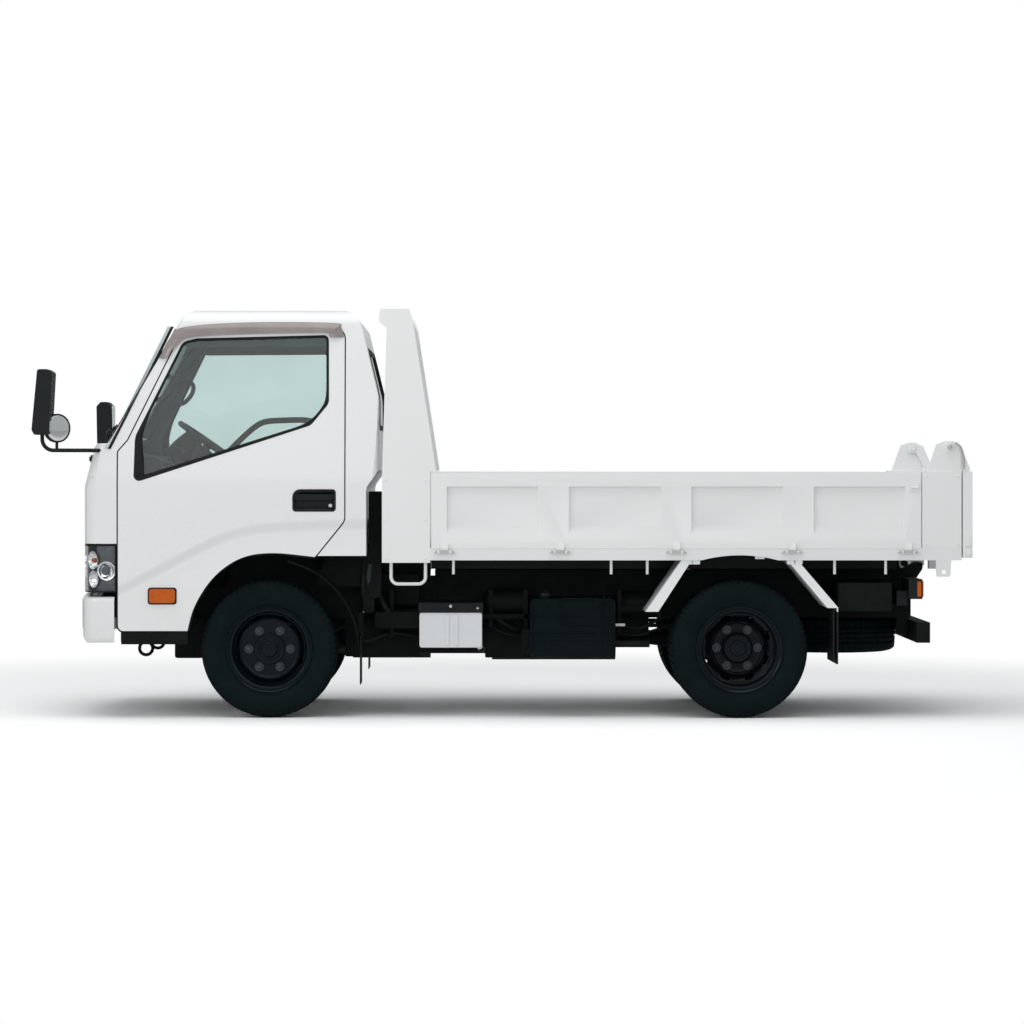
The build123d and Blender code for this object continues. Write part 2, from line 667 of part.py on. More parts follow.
# windscreen and rear window openings, y and z
SCREEN_LOW_Y = BODY_HALF - 99.5
SCREEN_TOP_Y = BODY_HALF - 157.5
SCREEN = (
    (-SCREEN_LOW_Y, 1500.0), (SCREEN_LOW_Y, 1500.0), (SCREEN_TOP_Y, 2085.0), (-SCREEN_TOP_Y, 2085.0),
)
REAR_WINDOW = ((-560.0, 1560.0), (560.0, 1560.0), (540.0, 1985.0), (-540.0, 1985.0))
SCREEN_CORNER = 60.0
PANEL_SIDE = BODY_HALF - 57.5

screen_hole = cross_prism(SCREEN, -1100.0, -300.0, SCREEN_CORNER)
rear_hole = cross_prism(REAR_WINDOW, 300.0, 700.0, SCREEN_CORNER)
panel_block = box(-1100, -880, -PANEL_SIDE, PANEL_SIDE, PANEL_BOTTOM, PANEL_TOP)
LAMP_INNER_Y = BODY_HALF - 287.5
LAMP_TOP = 937.0
LAMP_GAP = 6.0
lamp_hole = both_sides(box(-1100, -808, -BODY_HALF - 10, -LAMP_INNER_Y, PANEL_BOTTOM - 9, LAMP_TOP))
panel_gap = box(-1100, -880, -PANEL_SIDE - 5, PANEL_SIDE + 5, PANEL_BOTTOM - 5, PANEL_TOP + 5)


# the step wells and the floor stay inside the sweep of the door's front inner corner
WELL_HALF = DOOR_HINGE_Y - math.hypot(DOOR_FRONT_X - DOOR_HINGE_X, DOOR_HINGE_Y - (BODY_HALF - DOOR_T)) - DOOR_GAP


def cab_shell():
    shell = cab_outer - cab_inner
    shell -= box(-1200, 700, -REACH, REACH, 200, PANEL_BOTTOM)
    shell -= box(-790, 700, -REACH, REACH, 200, SIDE_PANEL_BOTTOM)
    shell -= box(-790, 248, -REACH, REACH, 200, CAB_FLOOR_Z)
    shell -= door_opening
    shell -= mirror(door_opening, about=Plane.XZ)
    shell -= screen_hole
    shell -= rear_hole
    shell -= panel_gap
    floor = box(-1100, 700, -REACH, REACH, CAB_FLOOR_Z, CAB_FLOOR_Z + CAB_FLOOR_T)
    floor &= cab_form(CAB_WALL - 5)
    floor -= both_sides(box(-830, 430, -REACH, -WELL_HALF, 800, 1000))
    fire_wall = box(FIRE_WALL_X, FIRE_WALL_X + 25, -BODY_HALF + 87.5, BODY_HALF - 87.5, RAIL_TOP + 8, PANEL_TOP)
    fire_wall &= cab_form(CAB_WALL - 5)
    shell += floor + fire_wall
    shell -= lamp_hole
    rear_wall = box(522 - CAB_WALL, 522, -BODY_HALF + 30, BODY_HALF - 30, SIDE_PANEL_BOTTOM, 1000)
    shell += rear_wall & cab_outer
    return shell


PANEL_T = 22.0
PANEL_STAY_YZ = ((300.0, 1320.0), (480.0, 1010.0))


def panel_stays():
    """Stays from the fire wall that end just behind the front panel."""
    stays = None
    for y, z in PANEL_STAY_YZ:
        stay = box(-1100, FIRE_WALL_X + 10, -y - 20, -y + 20, z - 20, z + 20)
        stays = stay if stays is None else stays + stay
    return both_sides(stays) & cab_form(PANEL_T + SEAT_FIT)


def cab_hinge_arms():
    """Arms that lean back from sleeves on the frame's pins up to the fire wall."""
    y0, y1 = -RAIL_OUTER + 22, -RAIL_OUTER + 60
    arm = side_prism(
        ((CAB_HINGE_X - 10, CAB_HINGE_Z + 14), (CAB_HINGE_X + 14, CAB_HINGE_Z - 10),
         (RAIL_FRONT - 14, RAIL_TOP + 6), (FIRE_WALL_X + 5, RAIL_TOP + 20), (FIRE_WALL_X + 5, RAIL_TOP + 100),
         (FIRE_WALL_X - 28, RAIL_TOP + 100), (FIRE_WALL_X - 40, PANEL_BOTTOM + 20)),
        y0, y1)
    arm += rod_y(CAB_HINGE_X, CAB_HINGE_Z, CAB_SLEEVE_R, y0, y1)
    arm -= rod_y(CAB_HINGE_X, CAB_HINGE_Z, CAB_PIN_R + RUN_FIT, y0 - 1, y1 + 1)
    return both_sides(arm)


STEP_X = (-793.0, -434.0)
STEP_Z = (396.0, 462.0)


def door_steps():
    """Step wells behind the doors' bottoms, hung from the cab floor, with a black skirt below the door."""
    tray = box(-780, -440, -WELL_HALF, -600, 480, 500)
    tray += box(-780, -440, -612, -600, 480, CAB_FLOOR_Z)
    tray += box(-792, -780, -WELL_HALF, -600, 480, CAB_FLOOR_Z)
    skirt = cross_prism(((-BODY_HALF + 8, STEP_Z[1]), (-BODY_HALF + 10, STEP_Z[0] + 20), (-BODY_HALF + 30, STEP_Z[0]),
                         (-640, STEP_Z[0]), (-640, STEP_Z[1])), *STEP_X)
    tray += skirt + box(-760, -460, -WELL_HALF, -660, STEP_Z[1], 480)
    return both_sides(tray)


save("cab_steps", door_steps())
save("cab_shell", cab_shell() + cab_hinge_arms() + panel_stays())

front_panel = (cab_outer - cab_form(PANEL_T)) & panel_block
GRILLE_Z = (860.0, 905.0, 950.0, 995.0)
for slot_z in GRILLE_Z:
    front_panel -= box(-1100, -900, -440, 440, slot_z, slot_z + 22)
save("front_panel", front_panel - lamp_hole)
save("windscreen", (glass_outer - glass_inner) & screen_hole)
save("rear_window", (glass_outer - glass_inner) & rear_hole)


# ---- headlamps wrap the cab's front corners ----
def headlamp():
    block = box(-1100, -816, -BODY_HALF, -LAMP_INNER_Y - SEAT_FIT, PANEL_BOTTOM + LAMP_GAP, LAMP_TOP - LAMP_GAP)
    return (cab_form(1.0) - cab_form(70.0)) & block


save("headlamps", both_sides(headlamp()))


# ---- cab inside ----
def dashboard():
    shape = side_prism(
        ((-894, 1000), (-700, 1000), (-560, 1180), (-545, 1340), (-620, 1400), (-850, 1425), (-894, 1400)),
        -BODY_HALF + 107.5, BODY_HALF - 107.5, 30.0)
    return shape & cab_form(CAB_WALL + SEAT_FIT)


SEAT_BOX_TOP = 985.0
CUSHION_X = (-160.0, 300.0)
CUSHION_TOP = (1180.0, 1150.0)
BACK_TOP = ((330.0, 1710.0), (430.0, 1700.0))
HEADREST_POST_R = 6.0


def cushion_top(x):
    share = (x - CUSHION_X[0]) / (CUSHION_X[1] - CUSHION_X[0])
    return CUSHION_TOP[0] + share * (CUSHION_TOP[1] - CUSHION_TOP[0])


def seat(y0, y1):
    """A cushion on the seat box and a back that rests on the cushion."""
    front, rear = CUSHION_X
    low = SEAT_BOX_TOP + SEAT_FIT
    cushion = side_prism(((front, low), (rear, low), (rear, CUSHION_TOP[1]), (front, CUSHION_TOP[0])), y0, y1, 40.0)
    back_x0, back_x1 = rear - 104, rear + 16
    back = side_prism(((back_x0, cushion_top(back_x0) + SEAT_FIT), (back_x1, cushion_top(back_x1) + SEAT_FIT),
                       BACK_TOP[1], BACK_TOP[0]), y0, y1, 30.0)
    return cushion + back


def headrest(y_mid):
    """A pad on two posts that stand on the seat back."""
    pad = side_prism(((330, 1745), (420, 1735), (440, 1905), (352, 1915)), y_mid - 130, y_mid + 130, 30.0)
    post_x = (BACK_TOP[0][0] + BACK_TOP[1][0]) / 2
    post_low = BACK_TOP[0][1] - HEADREST_POST_R + SEAT_FIT + 1.5
    for side in (-1, 1):
        pad += rod_z(post_x, y_mid + side * 60, HEADREST_POST_R, post_low, 1790)
    return pad


seat_frame = box(-120, 280, 200, 640, CAB_FLOOR_Z + CAB_FLOOR_T, SEAT_BOX_TOP)
seat_frame += box(-120, 280, -660, 100, CAB_FLOOR_Z + CAB_FLOOR_T, SEAT_BOX_TOP)
save("seats", seat(180, 660) + seat(-680, 120) + headrest(420) + headrest(-420) + seat_frame)

WHEEL_MID = (-411.0, 400.0, 1480.0)
WHEEL_TILT = 35.0
STEERING_R = 201.0
column_place = Pos(*WHEEL_MID) * Rot(0, WHEEL_TILT, 0)
steering = Torus(STEERING_R, 14) + Cylinder(45, 30)
for spoke_turn in (0, 120, 240):
    steering += Rot(0, 0, spoke_turn) * Pos(115, 0, 0) * Box(170, 30, 10)
steering += Pos(0, 0, -110) * Cylinder(22, 220)
save("steering_wheel", column_place * steering)
save("dashboard", dashboard() - column_place * Pos(0, 0, -150) * Cylinder(22, 300))


# ---- mirrors on their arms ----
MIRROR_OUT = BODY_HALF + 232.5
MIRROR_FOOT_Y = BODY_HALF - 45.5
MIRROR_ARM_Z = 1437.0
MIRROR_ARM_R = 10.5
ROUND_MIRROR_R = 77.0
DRIVER_MIRROR_X = -1064.0


def mirror_left():
    """A tall mirror ahead of the cab on a long arm, with a round wide-angle mirror beside it."""
    head_x = MIRROR_FRONT + 46
    head_y = -MIRROR_OUT + 95
    arm = tube_path(((head_x, head_y, 1519), (head_x, head_y, MIRROR_ARM_Z), (-1100, head_y + 25, MIRROR_ARM_Z),
                     (-870, -MIRROR_FOOT_Y + 2, MIRROR_ARM_Z)), MIRROR_ARM_R, (60.0, 60.0))
    foot = Pos(-872, -MIRROR_FOOT_Y, MIRROR_ARM_Z + 3) * Sphere(24)
    head = side_prism(((MIRROR_FRONT + 14, 1519), (-1150, 1519), (-1132, 1850), (-1160, 1867),
                       (MIRROR_FRONT + 30, 1867), (MIRROR_FRONT, 1545)), -MIRROR_OUT, -MIRROR_OUT + 180, 14.0)
    disc_plate = Pos(-1121, head_y + 23, 1555) * Rot(0, 0, 36) * Rot(90, 0, 0) * Cylinder(ROUND_MIRROR_R, 22)
    stem = rod_z(-1121, head_y + 23, 8, MIRROR_ARM_Z, 1500)
    return arm + foot + head + disc_plate + stem


def mirror_right():
    """The driver's mirror stands close by the windscreen pillar."""
    x = DRIVER_MIRROR_X
    head_y = MIRROR_OUT - 105
    arm = tube_path(((x, head_y, 1500), (x, head_y, MIRROR_ARM_Z), (-985, head_y - 75, MIRROR_ARM_Z),
                     (-870, MIRROR_FOOT_Y - 2, MIRROR_ARM_Z)), MIRROR_ARM_R, (40.0, 40.0))
    foot = Pos(-872, MIRROR_FOOT_Y, MIRROR_ARM_Z + 3) * Sphere(24)
    head = side_prism(((x - 40, 1474), (x + 40, 1474), (x + 44, 1700), (x + 20, 1726), (x - 20, 1726),
                       (x - 44, 1700)), MIRROR_OUT - 200, MIRROR_OUT, 14.0)
    return arm + foot + head


save("mirror_left", mirror_left() - cab_outer)
save("mirror_right", mirror_right() - cab_outer)


# ---- engine, tanks and boxes on the frame ----
ENGINE_X = (-480.0, 260.0)
ENGINE_HALF = 250.0
ENGINE_Z = (430.0, 880.0)
GEARBOX_R = 120.0
GEARBOX_REAR = 600.0
SHAFT_R = 40.0
SHAFT_FRONT_Z = 560.0
AXLE_NOSE = WHEELBASE - DIFF_R - 60.0


def engine():
    """One block on four mounts that bear on the frame rails' webs."""
    block = box(*ENGINE_X, -ENGINE_HALF, ENGINE_HALF, *ENGINE_Z)
    for x in (-330.0, 120.0):
        block += both_sides(box(x - 30, x + 30, -RAIL_OUTER + RAIL_WALL, -ENGINE_HALF, 560, 610))
    return block


def gearbox_and_shaft():
    gearbox = rod_x(0, SHAFT_FRONT_Z, GEARBOX_R, ENGINE_X[1], GEARBOX_REAR)
    run = (AXLE_NOSE - GEARBOX_REAR, TYRE_R - SHAFT_FRONT_Z)
    middle = Pos((GEARBOX_REAR + AXLE_NOSE) / 2, 0, (SHAFT_FRONT_Z + TYRE_R) / 2)
    shaft = middle * Rot(0, 90 + math.degrees(math.atan2(-run[1], run[0])), 0) * Cylinder(SHAFT_R, math.hypot(*run) + 20)
    shaft &= box(GEARBOX_REAR - 12, AXLE_NOSE, -SHAFT_R - 1, SHAFT_R + 1, 200, 800)
    return gearbox + shaft


save("engine_block", engine())
save("gearbox_and_propshaft", gearbox_and_shaft())


TANK_X = (WHEELBASE * 0.55525, WHEELBASE * 0.73703)
TANK_Z = (332.0, 640.0)
TANK_CAP_R = 28.0


def fuel_tank():
    (x0, x1), (z0, z1) = TANK_X, TANK_Z
    tank = side_prism(((x0, z0), (x1, z0), (x1, z1), (x0, z1)), -BODY_HALF + 47.5, -RAIL_OUTER, 28.0)
    tank += rod_z(x0 + 83, -BODY_HALF + 147.5, TANK_CAP_R, z1, z1 + 29)
    return tank


save("fuel_tank", fuel_tank())
BATTERY_X = (807.0, 1144.0)
BATTERY_Y = (-BODY_HALF + 57.5, -420.0)
BATTERY_Z = (377.0, 566.0)
LID_OVER = 6.0
(bat_x0, bat_x1), (bat_y0, bat_y1), (bat_z0, bat_z1) = BATTERY_X, BATTERY_Y, BATTERY_Z
battery = side_prism(((bat_x0, bat_z0), (bat_x1, bat_z0), (bat_x1, bat_z1), (bat_x0, bat_z1)), bat_y0, bat_y1, 14.0)
battery_lid = box(bat_x0 - LID_OVER, bat_x1 + LID_OVER, bat_y0 - LID_OVER, bat_y1 + LID_OVER, bat_z1, bat_z1 + 51)
battery_carrier = box(bat_x0 + 33, bat_x1 - 44, bat_y1 + LID_OVER, -RAIL_OUTER, bat_z1 - 26, bat_z1 + 34)
save("battery_box", battery)
save("battery_lid", battery_lid + battery_carrier)
EXHAUST_Y = -225.0
SILENCER_Z = 378.0
SILENCER_R = 95.0
SILENCER_X = (1199.0, WHEELBASE - 645.0)
FRONT_BOX_X = (430.0, 860.0)
FRONT_BOX_Z = 345.0
EXHAUST_PIPE_R = 28.0


def exhaust():
    """Front box, silencer and pipes in line under the left rail, hung from it by two straps."""
    line = rod_x(EXHAUST_Y, FRONT_BOX_Z, 52, *FRONT_BOX_X)
    line += rod_x(EXHAUST_Y, FRONT_BOX_Z, EXHAUST_PIPE_R, FRONT_BOX_X[0] - 130, SILENCER_X[0] + 10)
    line += rod_x(EXHAUST_Y, SILENCER_Z, SILENCER_R, *SILENCER_X)
    line += rod_x(EXHAUST_Y, SILENCER_Z, EXHAUST_PIPE_R, SILENCER_X[1] - 10, SILENCER_X[1] + 190)
    for x, low in ((700.0, FRONT_BOX_Z), (1400.0, SILENCER_Z), (1760.0, SILENCER_Z)):
        line += box(x - 15, x + 15, EXHAUST_Y - 105, EXHAUST_Y - 65, low, RAIL_BOTTOM)
        line += box(x - 15, x + 15, EXHAUST_Y - 90, EXHAUST_Y, low + 30, low + 50)
    return line


save("silencer", exhaust())
SPARE_MID = (RAIL_REAR - TYRE_R - 49.0, 0.0, RAIL_BOTTOM - TYRE_W / 2 - SEAT_FIT)
save("spare_wheel", Pos(*SPARE_MID) * Rot(90, 0, 0) * (tyre() + rim_barrel() + disc(-20.0, 12.0, 8)))


def rear_lamps():
    lamp = box(RAIL_REAR - 60, RAIL_REAR + 15, -BODY_HALF + 87.5, -430, 637, 744)
    stay = box(RAIL_REAR - 120, RAIL_REAR - 60, -700, -RAIL_OUTER, 600, 680)
    return both_sides(lamp + stay)


def rear_guard():
    bar_half = BODY_HALF - 97.5
    bar = box(RAIL_REAR - 17, RAIL_REAR + 57, -bar_half, bar_half, 401, 512)
    stay = box(RAIL_REAR - 80, RAIL_REAR - 17, -RAIL_OUTER, -RAIL_OUTER + 40, 430, RAIL_BOTTOM)
    return bar + both_sides(stay)


save("rear_lamps", rear_lamps())
save("rear_guard_bar", rear_guard())

INTAKE_X = (530.0, 598.0)
INTAKE_Y = (-660.0, -430.0)
INTAKE_TOP = 1215.0


def air_intake():
    """A tall intake duct and a water bottle that stand on the rails behind the cab."""
    (x0, x1), (y0, y1) = INTAKE_X, INTAKE_Y
    duct = box(x0, x1, y0, y1, 640, INTAKE_TOP) + box(x0 + 8, x1 - 8, y1, -RAIL_OUTER, 700, 760)
    bottle = box(x0, x1, 420, 640, 700, 1040) + box(x0 + 8, x1 - 8, RAIL_OUTER, 420, 700, 760)
    foot = both_sides(box(x0 + 8, x1 - 8, -RAIL_OUTER, -RAIL_OUTER + RAIL_FLANGE, RAIL_TOP, 760))
    return duct + bottle + foot


save("air_intake", air_intake())
TOOL_BOX_X = (RAIL_REAR - 438.0, RAIL_REAR - 150.0)


def tool_box():
    """A box behind the left twin wheels, bolted to the rail's web."""
    x0, x1 = TOOL_BOX_X
    return side_prism(((x0, 572), (x1, 572), (x1, 725), (x0, 725)), -BODY_HALF + 87.5, -RAIL_OUTER, 12.0)


save("tool_box", tool_box())


def fender_liner():
    """Rear half of the front wheel house, and the flap under it."""
    liner_y = -BODY_HALF + 7.5
    outer = rod_y(0, TYRE_R, 484, liner_y, -600)
    inner = rod_y(0, TYRE_R, 478, liner_y - 1, -599)
    band = (outer - inner) & box(100, 600, liner_y - 1, -599, 388, 900)
    flap = box(488, 494, liner_y + 5, -610, 182, 440)
    stay = box(478, 500, -600, -RAIL_OUTER, RAIL_BOTTOM, RAIL_BOTTOM + 40)
    stay += box(472, 500, -640, -590, 400, RAIL_BOTTOM + 40)
    return both_sides(band + flap + stay)


save("front_fender_liners", fender_liner())


# ---- bed: sills, floor, posts and guard ----
def bed_side_sill():
    return box(BED_FRONT, BED_REAR, -BODY_HALF, -BODY_HALF + 60, SILL_BOTTOM, SILL_TOP)


BED_CROSS_COUNT = 9
DECK_GAP = 5.0
DECK_T = 3.0
ARCH_R = 800.0
ARCH_RISE = 27.0
LASHING_HOLE = (BED_REAR - 94.0, 785.0)
LASHING_HOLE_R = 11.0
LASHING_T = 12.0


def lashing_bracket():
    """A plate under the bed's rear corner with a hole for a shackle."""
    x, z = LASHING_HOLE
    plate = side_prism(((x - 40, z - 25), (x + 34, z - 25), (x + 40, SILL_BOTTOM + 20), (x - 46, SILL_BOTTOM + 20)),
                       -BODY_HALF, -BODY_HALF + LASHING_T, 8.0)
    return plate - rod_y(x, z, LASHING_HOLE_R, -BODY_HALF - 1, -BODY_HALF + LASHING_T + 1)


def bed_frame():
    half = BODY_HALF - 30
    arch_x, arch_z = WHEELBASE, SILL_BOTTOM + ARCH_RISE - ARCH_R
    shape = both_sides(bed_side_sill() - rod_y(arch_x, arch_z, ARCH_R, -REACH, -BODY_HALF + 80) + lashing_bracket())
    shape += box(BED_FRONT, BED_REAR, -half, half, SILL_TOP - FLOOR_T, SILL_TOP)
    deck_half = BODY_HALF - SIDE_T - DECK_GAP
    shape += box(BED_FRONT + DECK_GAP, REAR_POST_FRONT - DECK_GAP, -deck_half, deck_half, SILL_TOP - 1, SILL_TOP + DECK_T)
    pitch = (BED_REAR - BED_FRONT - 80) / (BED_CROSS_COUNT - 1)
    for index in range(BED_CROSS_COUNT):
        x = BED_FRONT + 40 + pitch * index
        shape += box(x - 25, x + 25, -half, half, SILL_BOTTOM + 6, SILL_TOP)
    for side in (-1, 1):
        y0, y1 = sorted((side * RAIL_OUTER, side * (RAIL_OUTER - RAIL_FLANGE)))
        shape += box(BED_FRONT, BED_REAR - 60, y0, y1, SUBFRAME_TOP + 6, SILL_TOP)
    shape -= both_sides(box(RAIL_REAR - 76, BED_HINGE_X + 60, -RAIL_OUTER - 6, -RAIL_OUTER + 90,
                            700, BED_HINGE_Z + 40))
    sleeve_y0, sleeve_y1 = -RAIL_OUTER + 28, -RAIL_OUTER + 62
    sleeve = rod_y(BED_HINGE_X, BED_HINGE_Z, 30, sleeve_y0, sleeve_y1)
    sleeve += box(BED_HINGE_X - 30, BED_HINGE_X + 30, sleeve_y0, sleeve_y1, BED_HINGE_Z, SILL_TOP - 10)
    sleeve -= rod_y(BED_HINGE_X, BED_HINGE_Z, 18 + RUN_FIT, sleeve_y0 - 1, sleeve_y1 + 1)
    shape += both_sides(sleeve)
    eye_x, eye_z = HOIST_EYE
    for side in (-1, 1):
        y0, y1 = sorted((side * 36.0, side * 52.0))
        lug = box(eye_x - 45, eye_x + 45, y0, y1, eye_z - 40, SILL_TOP - 6)
        shape += lug + rod_y(eye_x, eye_z, 30, *sorted((side * 52.0, side * 62.0)))
    return shape


save("bed_frame", bed_frame())


def guard_post():
    """Front corner post: a square foot and a tapered arm rising over the cab roof."""
    foot = box(GUARD_FRONT, BED_FRONT, -BODY_HALF, -BODY_HALF + POST_Y, 835, 1296)
    arm = side_prism(((GUARD_FRONT, 1296), (BED_FRONT, 1296), (897, 1330), (773, 2131), (753, 2196),
                      (596, 2196), (589, 2131), (632, 2100)), -BODY_HALF + 8, -BODY_HALF + 8 + 90)
    arm -= box(BED_FRONT, BED_FRONT + 135, -REACH, -BODY_HALF + 150, 1200, SIDE_TOP + 4)
    return foot + arm


def front_guard():
    shape = both_sides(guard_post())
    inner = BODY_HALF - POST_Y + 10
    shape += box(790, 840, -inner, inner, SILL_BOTTOM, 1296)
    shape += box(640, 760, -inner, inner, 2070, 2150)
    shape += box(700, 750, -inner, inner, 1560, 1620)
    for y in (-420.0, -140.0, 140.0, 420.0):
        shape += box(705, 735, y - 15, y + 15, 1280, 2100)
    shape += box(700, 840, -inner, inner, 1260, 1296)
    return shape


save("front_guard", front_guard())


# outline of the ear that carries the tailgate: distance ahead of the bed's rear end, and z
EAR_BACK_Z = (
    (188.0, SIDE_TOP), (168.0, 1369.0), (133.0, 1470.0), (88.0, 1487.0), (45.0, 1487.0),
    (13.0, 1466.0), (0.0, 1410.0), (0.0, SIDE_TOP),
)


def rear_post():
    post = box(REAR_POST_FRONT, BED_REAR, -BODY_HALF, -BODY_HALF + 70, SILL_TOP, SIDE_TOP + 6)
    ear = side_prism([(BED_REAR - back, z) for back, z in EAR_BACK_Z], -BODY_HALF + 20, -BODY_HALF + 32)
    pin = rod_y(TAIL_HINGE_X, TAIL_HINGE_Z, 16, -BODY_HALF + 4, -BODY_HALF + 60)
    boss = rod_y(TAIL_HINGE_X, TAIL_HINGE_Z, 30, -BODY_HALF + 12, -BODY_HALF + 22)
    return both_sides(post + ear + boss + pin)


save("rear_posts", rear_post())


# ---- sideboards: rails, posts and a recessed skin, hinged on the sill ----
BOARD_X = (BED_FRONT + SIDE_GAP, REAR_POST_FRONT - SIDE_GAP)
BOARD_POST_W = 163.0
BOARD_END_W = 83.0
BOARD_BAYS = 4
BOARD_HINGE_COUNT = 5
BOARD_HINGE_END = 70.0
BOARD_RECESS = 22.0
LOW_RAIL_TOP = 990.0
LOW_RAIL_SLOPE = 42.0
TOP_RAIL_LOW = 1243.0
POST_FLARE = 8.0
HINGE_LEN = 107.0
HINGE_STRAP = 40.0
STRAP_TOP = 940.0
STRAP_CLEAR = 2.0


def spaced(first, last, count):
    return [first + (last - first) * index / (count - 1) for index in range(count)]


BOARD_HINGES = spaced(BOARD_X[0] + BOARD_HINGE_END, BOARD_X[1] - BOARD_HINGE_END, BOARD_HINGE_COUNT)


def board_posts():
    """Upright ribs between the recessed bays, half ribs at the two ends."""
    x0, x1 = BOARD_X
    middles = spaced(x0, x1, BOARD_BAYS + 1)[1:-1]
    spans = [(x0, x0 + BOARD_END_W)]
    spans += [(middle - BOARD_POST_W / 2, middle + BOARD_POST_W / 2) for middle in middles]
    return spans + [(x1 - BOARD_END_W, x1)]


def sideboard():
    x0, x1 = BOARD_X
    outer, inner = -BODY_HALF, -BODY_HALF + SIDE_T
    recess = outer + BOARD_RECESS
    bottom = SILL_TOP + 2
    shape = cross_prism(((outer, bottom), (inner, bottom), (inner, SIDE_TOP), (outer, SIDE_TOP), (outer, TOP_RAIL_LOW),
                         (recess, TOP_RAIL_LOW), (recess, LOW_RAIL_TOP + LOW_RAIL_SLOPE), (outer, LOW_RAIL_TOP)), x0, x1)
    for post0, post1 in board_posts():
        foot0, foot1 = max(post0 - POST_FLARE, x0), min(post1 + POST_FLARE, x1)
        shape += plan_prism(((post0, outer), (post1, outer), (foot1, recess + 1), (foot0, recess + 1)),
                            LOW_RAIL_TOP - 10, TOP_RAIL_LOW + 10)
    for hinge_x in BOARD_HINGES:
        strap0, strap1 = hinge_x - HINGE_STRAP / 2, hinge_x + HINGE_STRAP / 2
        strap = box(strap0, strap1, -BOARD_HINGE_Y - 3, -BODY_HALF - STRAP_CLEAR, BOARD_HINGE_Z - 3, STRAP_TOP)
        strap += box(strap0, strap1, -BOARD_HINGE_Y - 3, -BODY_HALF, SILL_TOP + 6, STRAP_TOP)
        strap += rod_x(-BOARD_HINGE_Y, BOARD_HINGE_Z, BOARD_HINGE_R, strap0, strap1)
        strap -= rod_x(-BOARD_HINGE_Y, BOARD_HINGE_Z, BOARD_PIN_R + RUN_FIT, strap0 - 1, strap1 + 1)
        shape += strap
    return shape


def sill_hinges():
    shape = None
    for hinge_x in BOARD_HINGES:
        pin = rod_x(-BOARD_HINGE_Y, BOARD_HINGE_Z, BOARD_PIN_R, hinge_x - HINGE_LEN / 2, hinge_x + HINGE_LEN / 2)
        ends = None
        for side in (-1, 1):
            ex0, ex1 = sorted((hinge_x + side * 22, hinge_x + side * HINGE_LEN / 2))
            end = rod_x(-BOARD_HINGE_Y, BOARD_HINGE_Z, BOARD_HINGE_R, ex0, ex1)
            end += box(ex0, ex1, -BOARD_HINGE_Y, -BODY_HALF, BOARD_HINGE_Z - BOARD_HINGE_R, BOARD_HINGE_Z + 4)
            ends = end if ends is None else ends + end
        hinge = pin + ends
        shape = hinge if shape is None else shape + hinge
    return both_sides(shape)


board = sideboard()
save("sideboard_left", board)
save("sideboard_right", mirror(board, about=Plane.XZ))


# ---- tailgate hung from the ears ----
def tailgate():
    half = BODY_HALF
    x0, x1 = BED_REAR + 7, TAILGATE_REAR
    shape = box(x0, x1, -half, half, 861, SIDE_TOP + 6)
    for z0, z1 in ((960.0, 1090.0), (1130.0, 1260.0)):
        shape -= box(x1 - 24, x1 + 1, -half + 90, -30, z0, z1)
        shape -= box(x1 - 24, x1 + 1, 30, half - 90, z0, z1)
    shape += both_sides(box(x0 + 8, x1 - 4, -half - 8, -half + 1, 925, 995))
    shape += both_sides(rod_y((x0 + x1) / 2 + 2, 893, 20, -half - 8, -half + 1))
    arm_y0, arm_y1 = -half + 36, -half + 50
    arm = side_prism(((TAIL_HINGE_X - 30, TAIL_HINGE_Z - 26), (TAIL_HINGE_X + 20, TAIL_HINGE_Z - 30),
                      (BED_REAR + 7, 1330), (BED_REAR + 7, 1250), (TAILGATE_REAR - 30, 1250),
                      (TAILGATE_REAR - 8, 1340), (TAIL_HINGE_X + 60, TAIL_HINGE_Z + 10),
                      (TAIL_HINGE_X + 10, TAIL_HINGE_Z + 30), (TAIL_HINGE_X - 24, TAIL_HINGE_Z + 20)),
                     arm_y0, arm_y1)
    arm -= box(BED_REAR - 100, BED_REAR + 7, -REACH, REACH, 1200, 1332)
    arm -= rod_y(TAIL_HINGE_X, TAIL_HINGE_Z, 16 + RUN_FIT, -REACH, -BODY_HALF + 150)
    return shape + both_sides(arm)


save("tailgate", tailgate())


# ---- bed mudguards, flaps, hooks and step rings ----
def mudguard_plate(points):
    return side_prism(points, -BODY_HALF + 12, -RAIL_OUTER - 60)


def bed_mudguards():
    """Sloped plates before and behind the twin wheels, with a flap under the rear one."""
    front_x, rear_x = WHEELBASE - 312, WHEELBASE + 256
    front = mudguard_plate(((front_x, SILL_BOTTOM), (front_x + 55, SILL_BOTTOM), (front_x - 124, 572),
                            (front_x - 193, 572)))
    rear = mudguard_plate(((rear_x, SILL_BOTTOM), (rear_x + 55, SILL_BOTTOM), (rear_x + 274, 592),
                           (rear_x + 215, 592)))
    flap = box(rear_x + 265, rear_x + 273, -BODY_HALF + 20, -RAIL_OUTER - 66, 290, 592)
    return both_sides(front + rear + flap)


save("bed_mudguards", bed_mudguards())


HOOK_Y = BODY_HALF - 47.5


def step_ring(x0, x1):
    y = -HOOK_Y
    return tube_path(((x0, y, 835), (x0, y, 720), (x1, y, 720), (x1, y, 835)), 9.0, (38.0, 38.0))


HOOK_X = (BED_FRONT + 125.0, WHEELBASE - 688.0, WHEELBASE - 494.0, BED_REAR - 676.0, BED_REAR - 402.0)


def bed_steps():
    shape = both_sides(step_ring(GUARD_FRONT + 48, GUARD_FRONT + 233))
    for x in HOOK_X:
        shape += both_sides(rod_z(x, -HOOK_Y, 7.5, 772, SILL_BOTTOM))
    return shape + sill_hinges()


save("bed_steps_and_hooks", bed_steps())


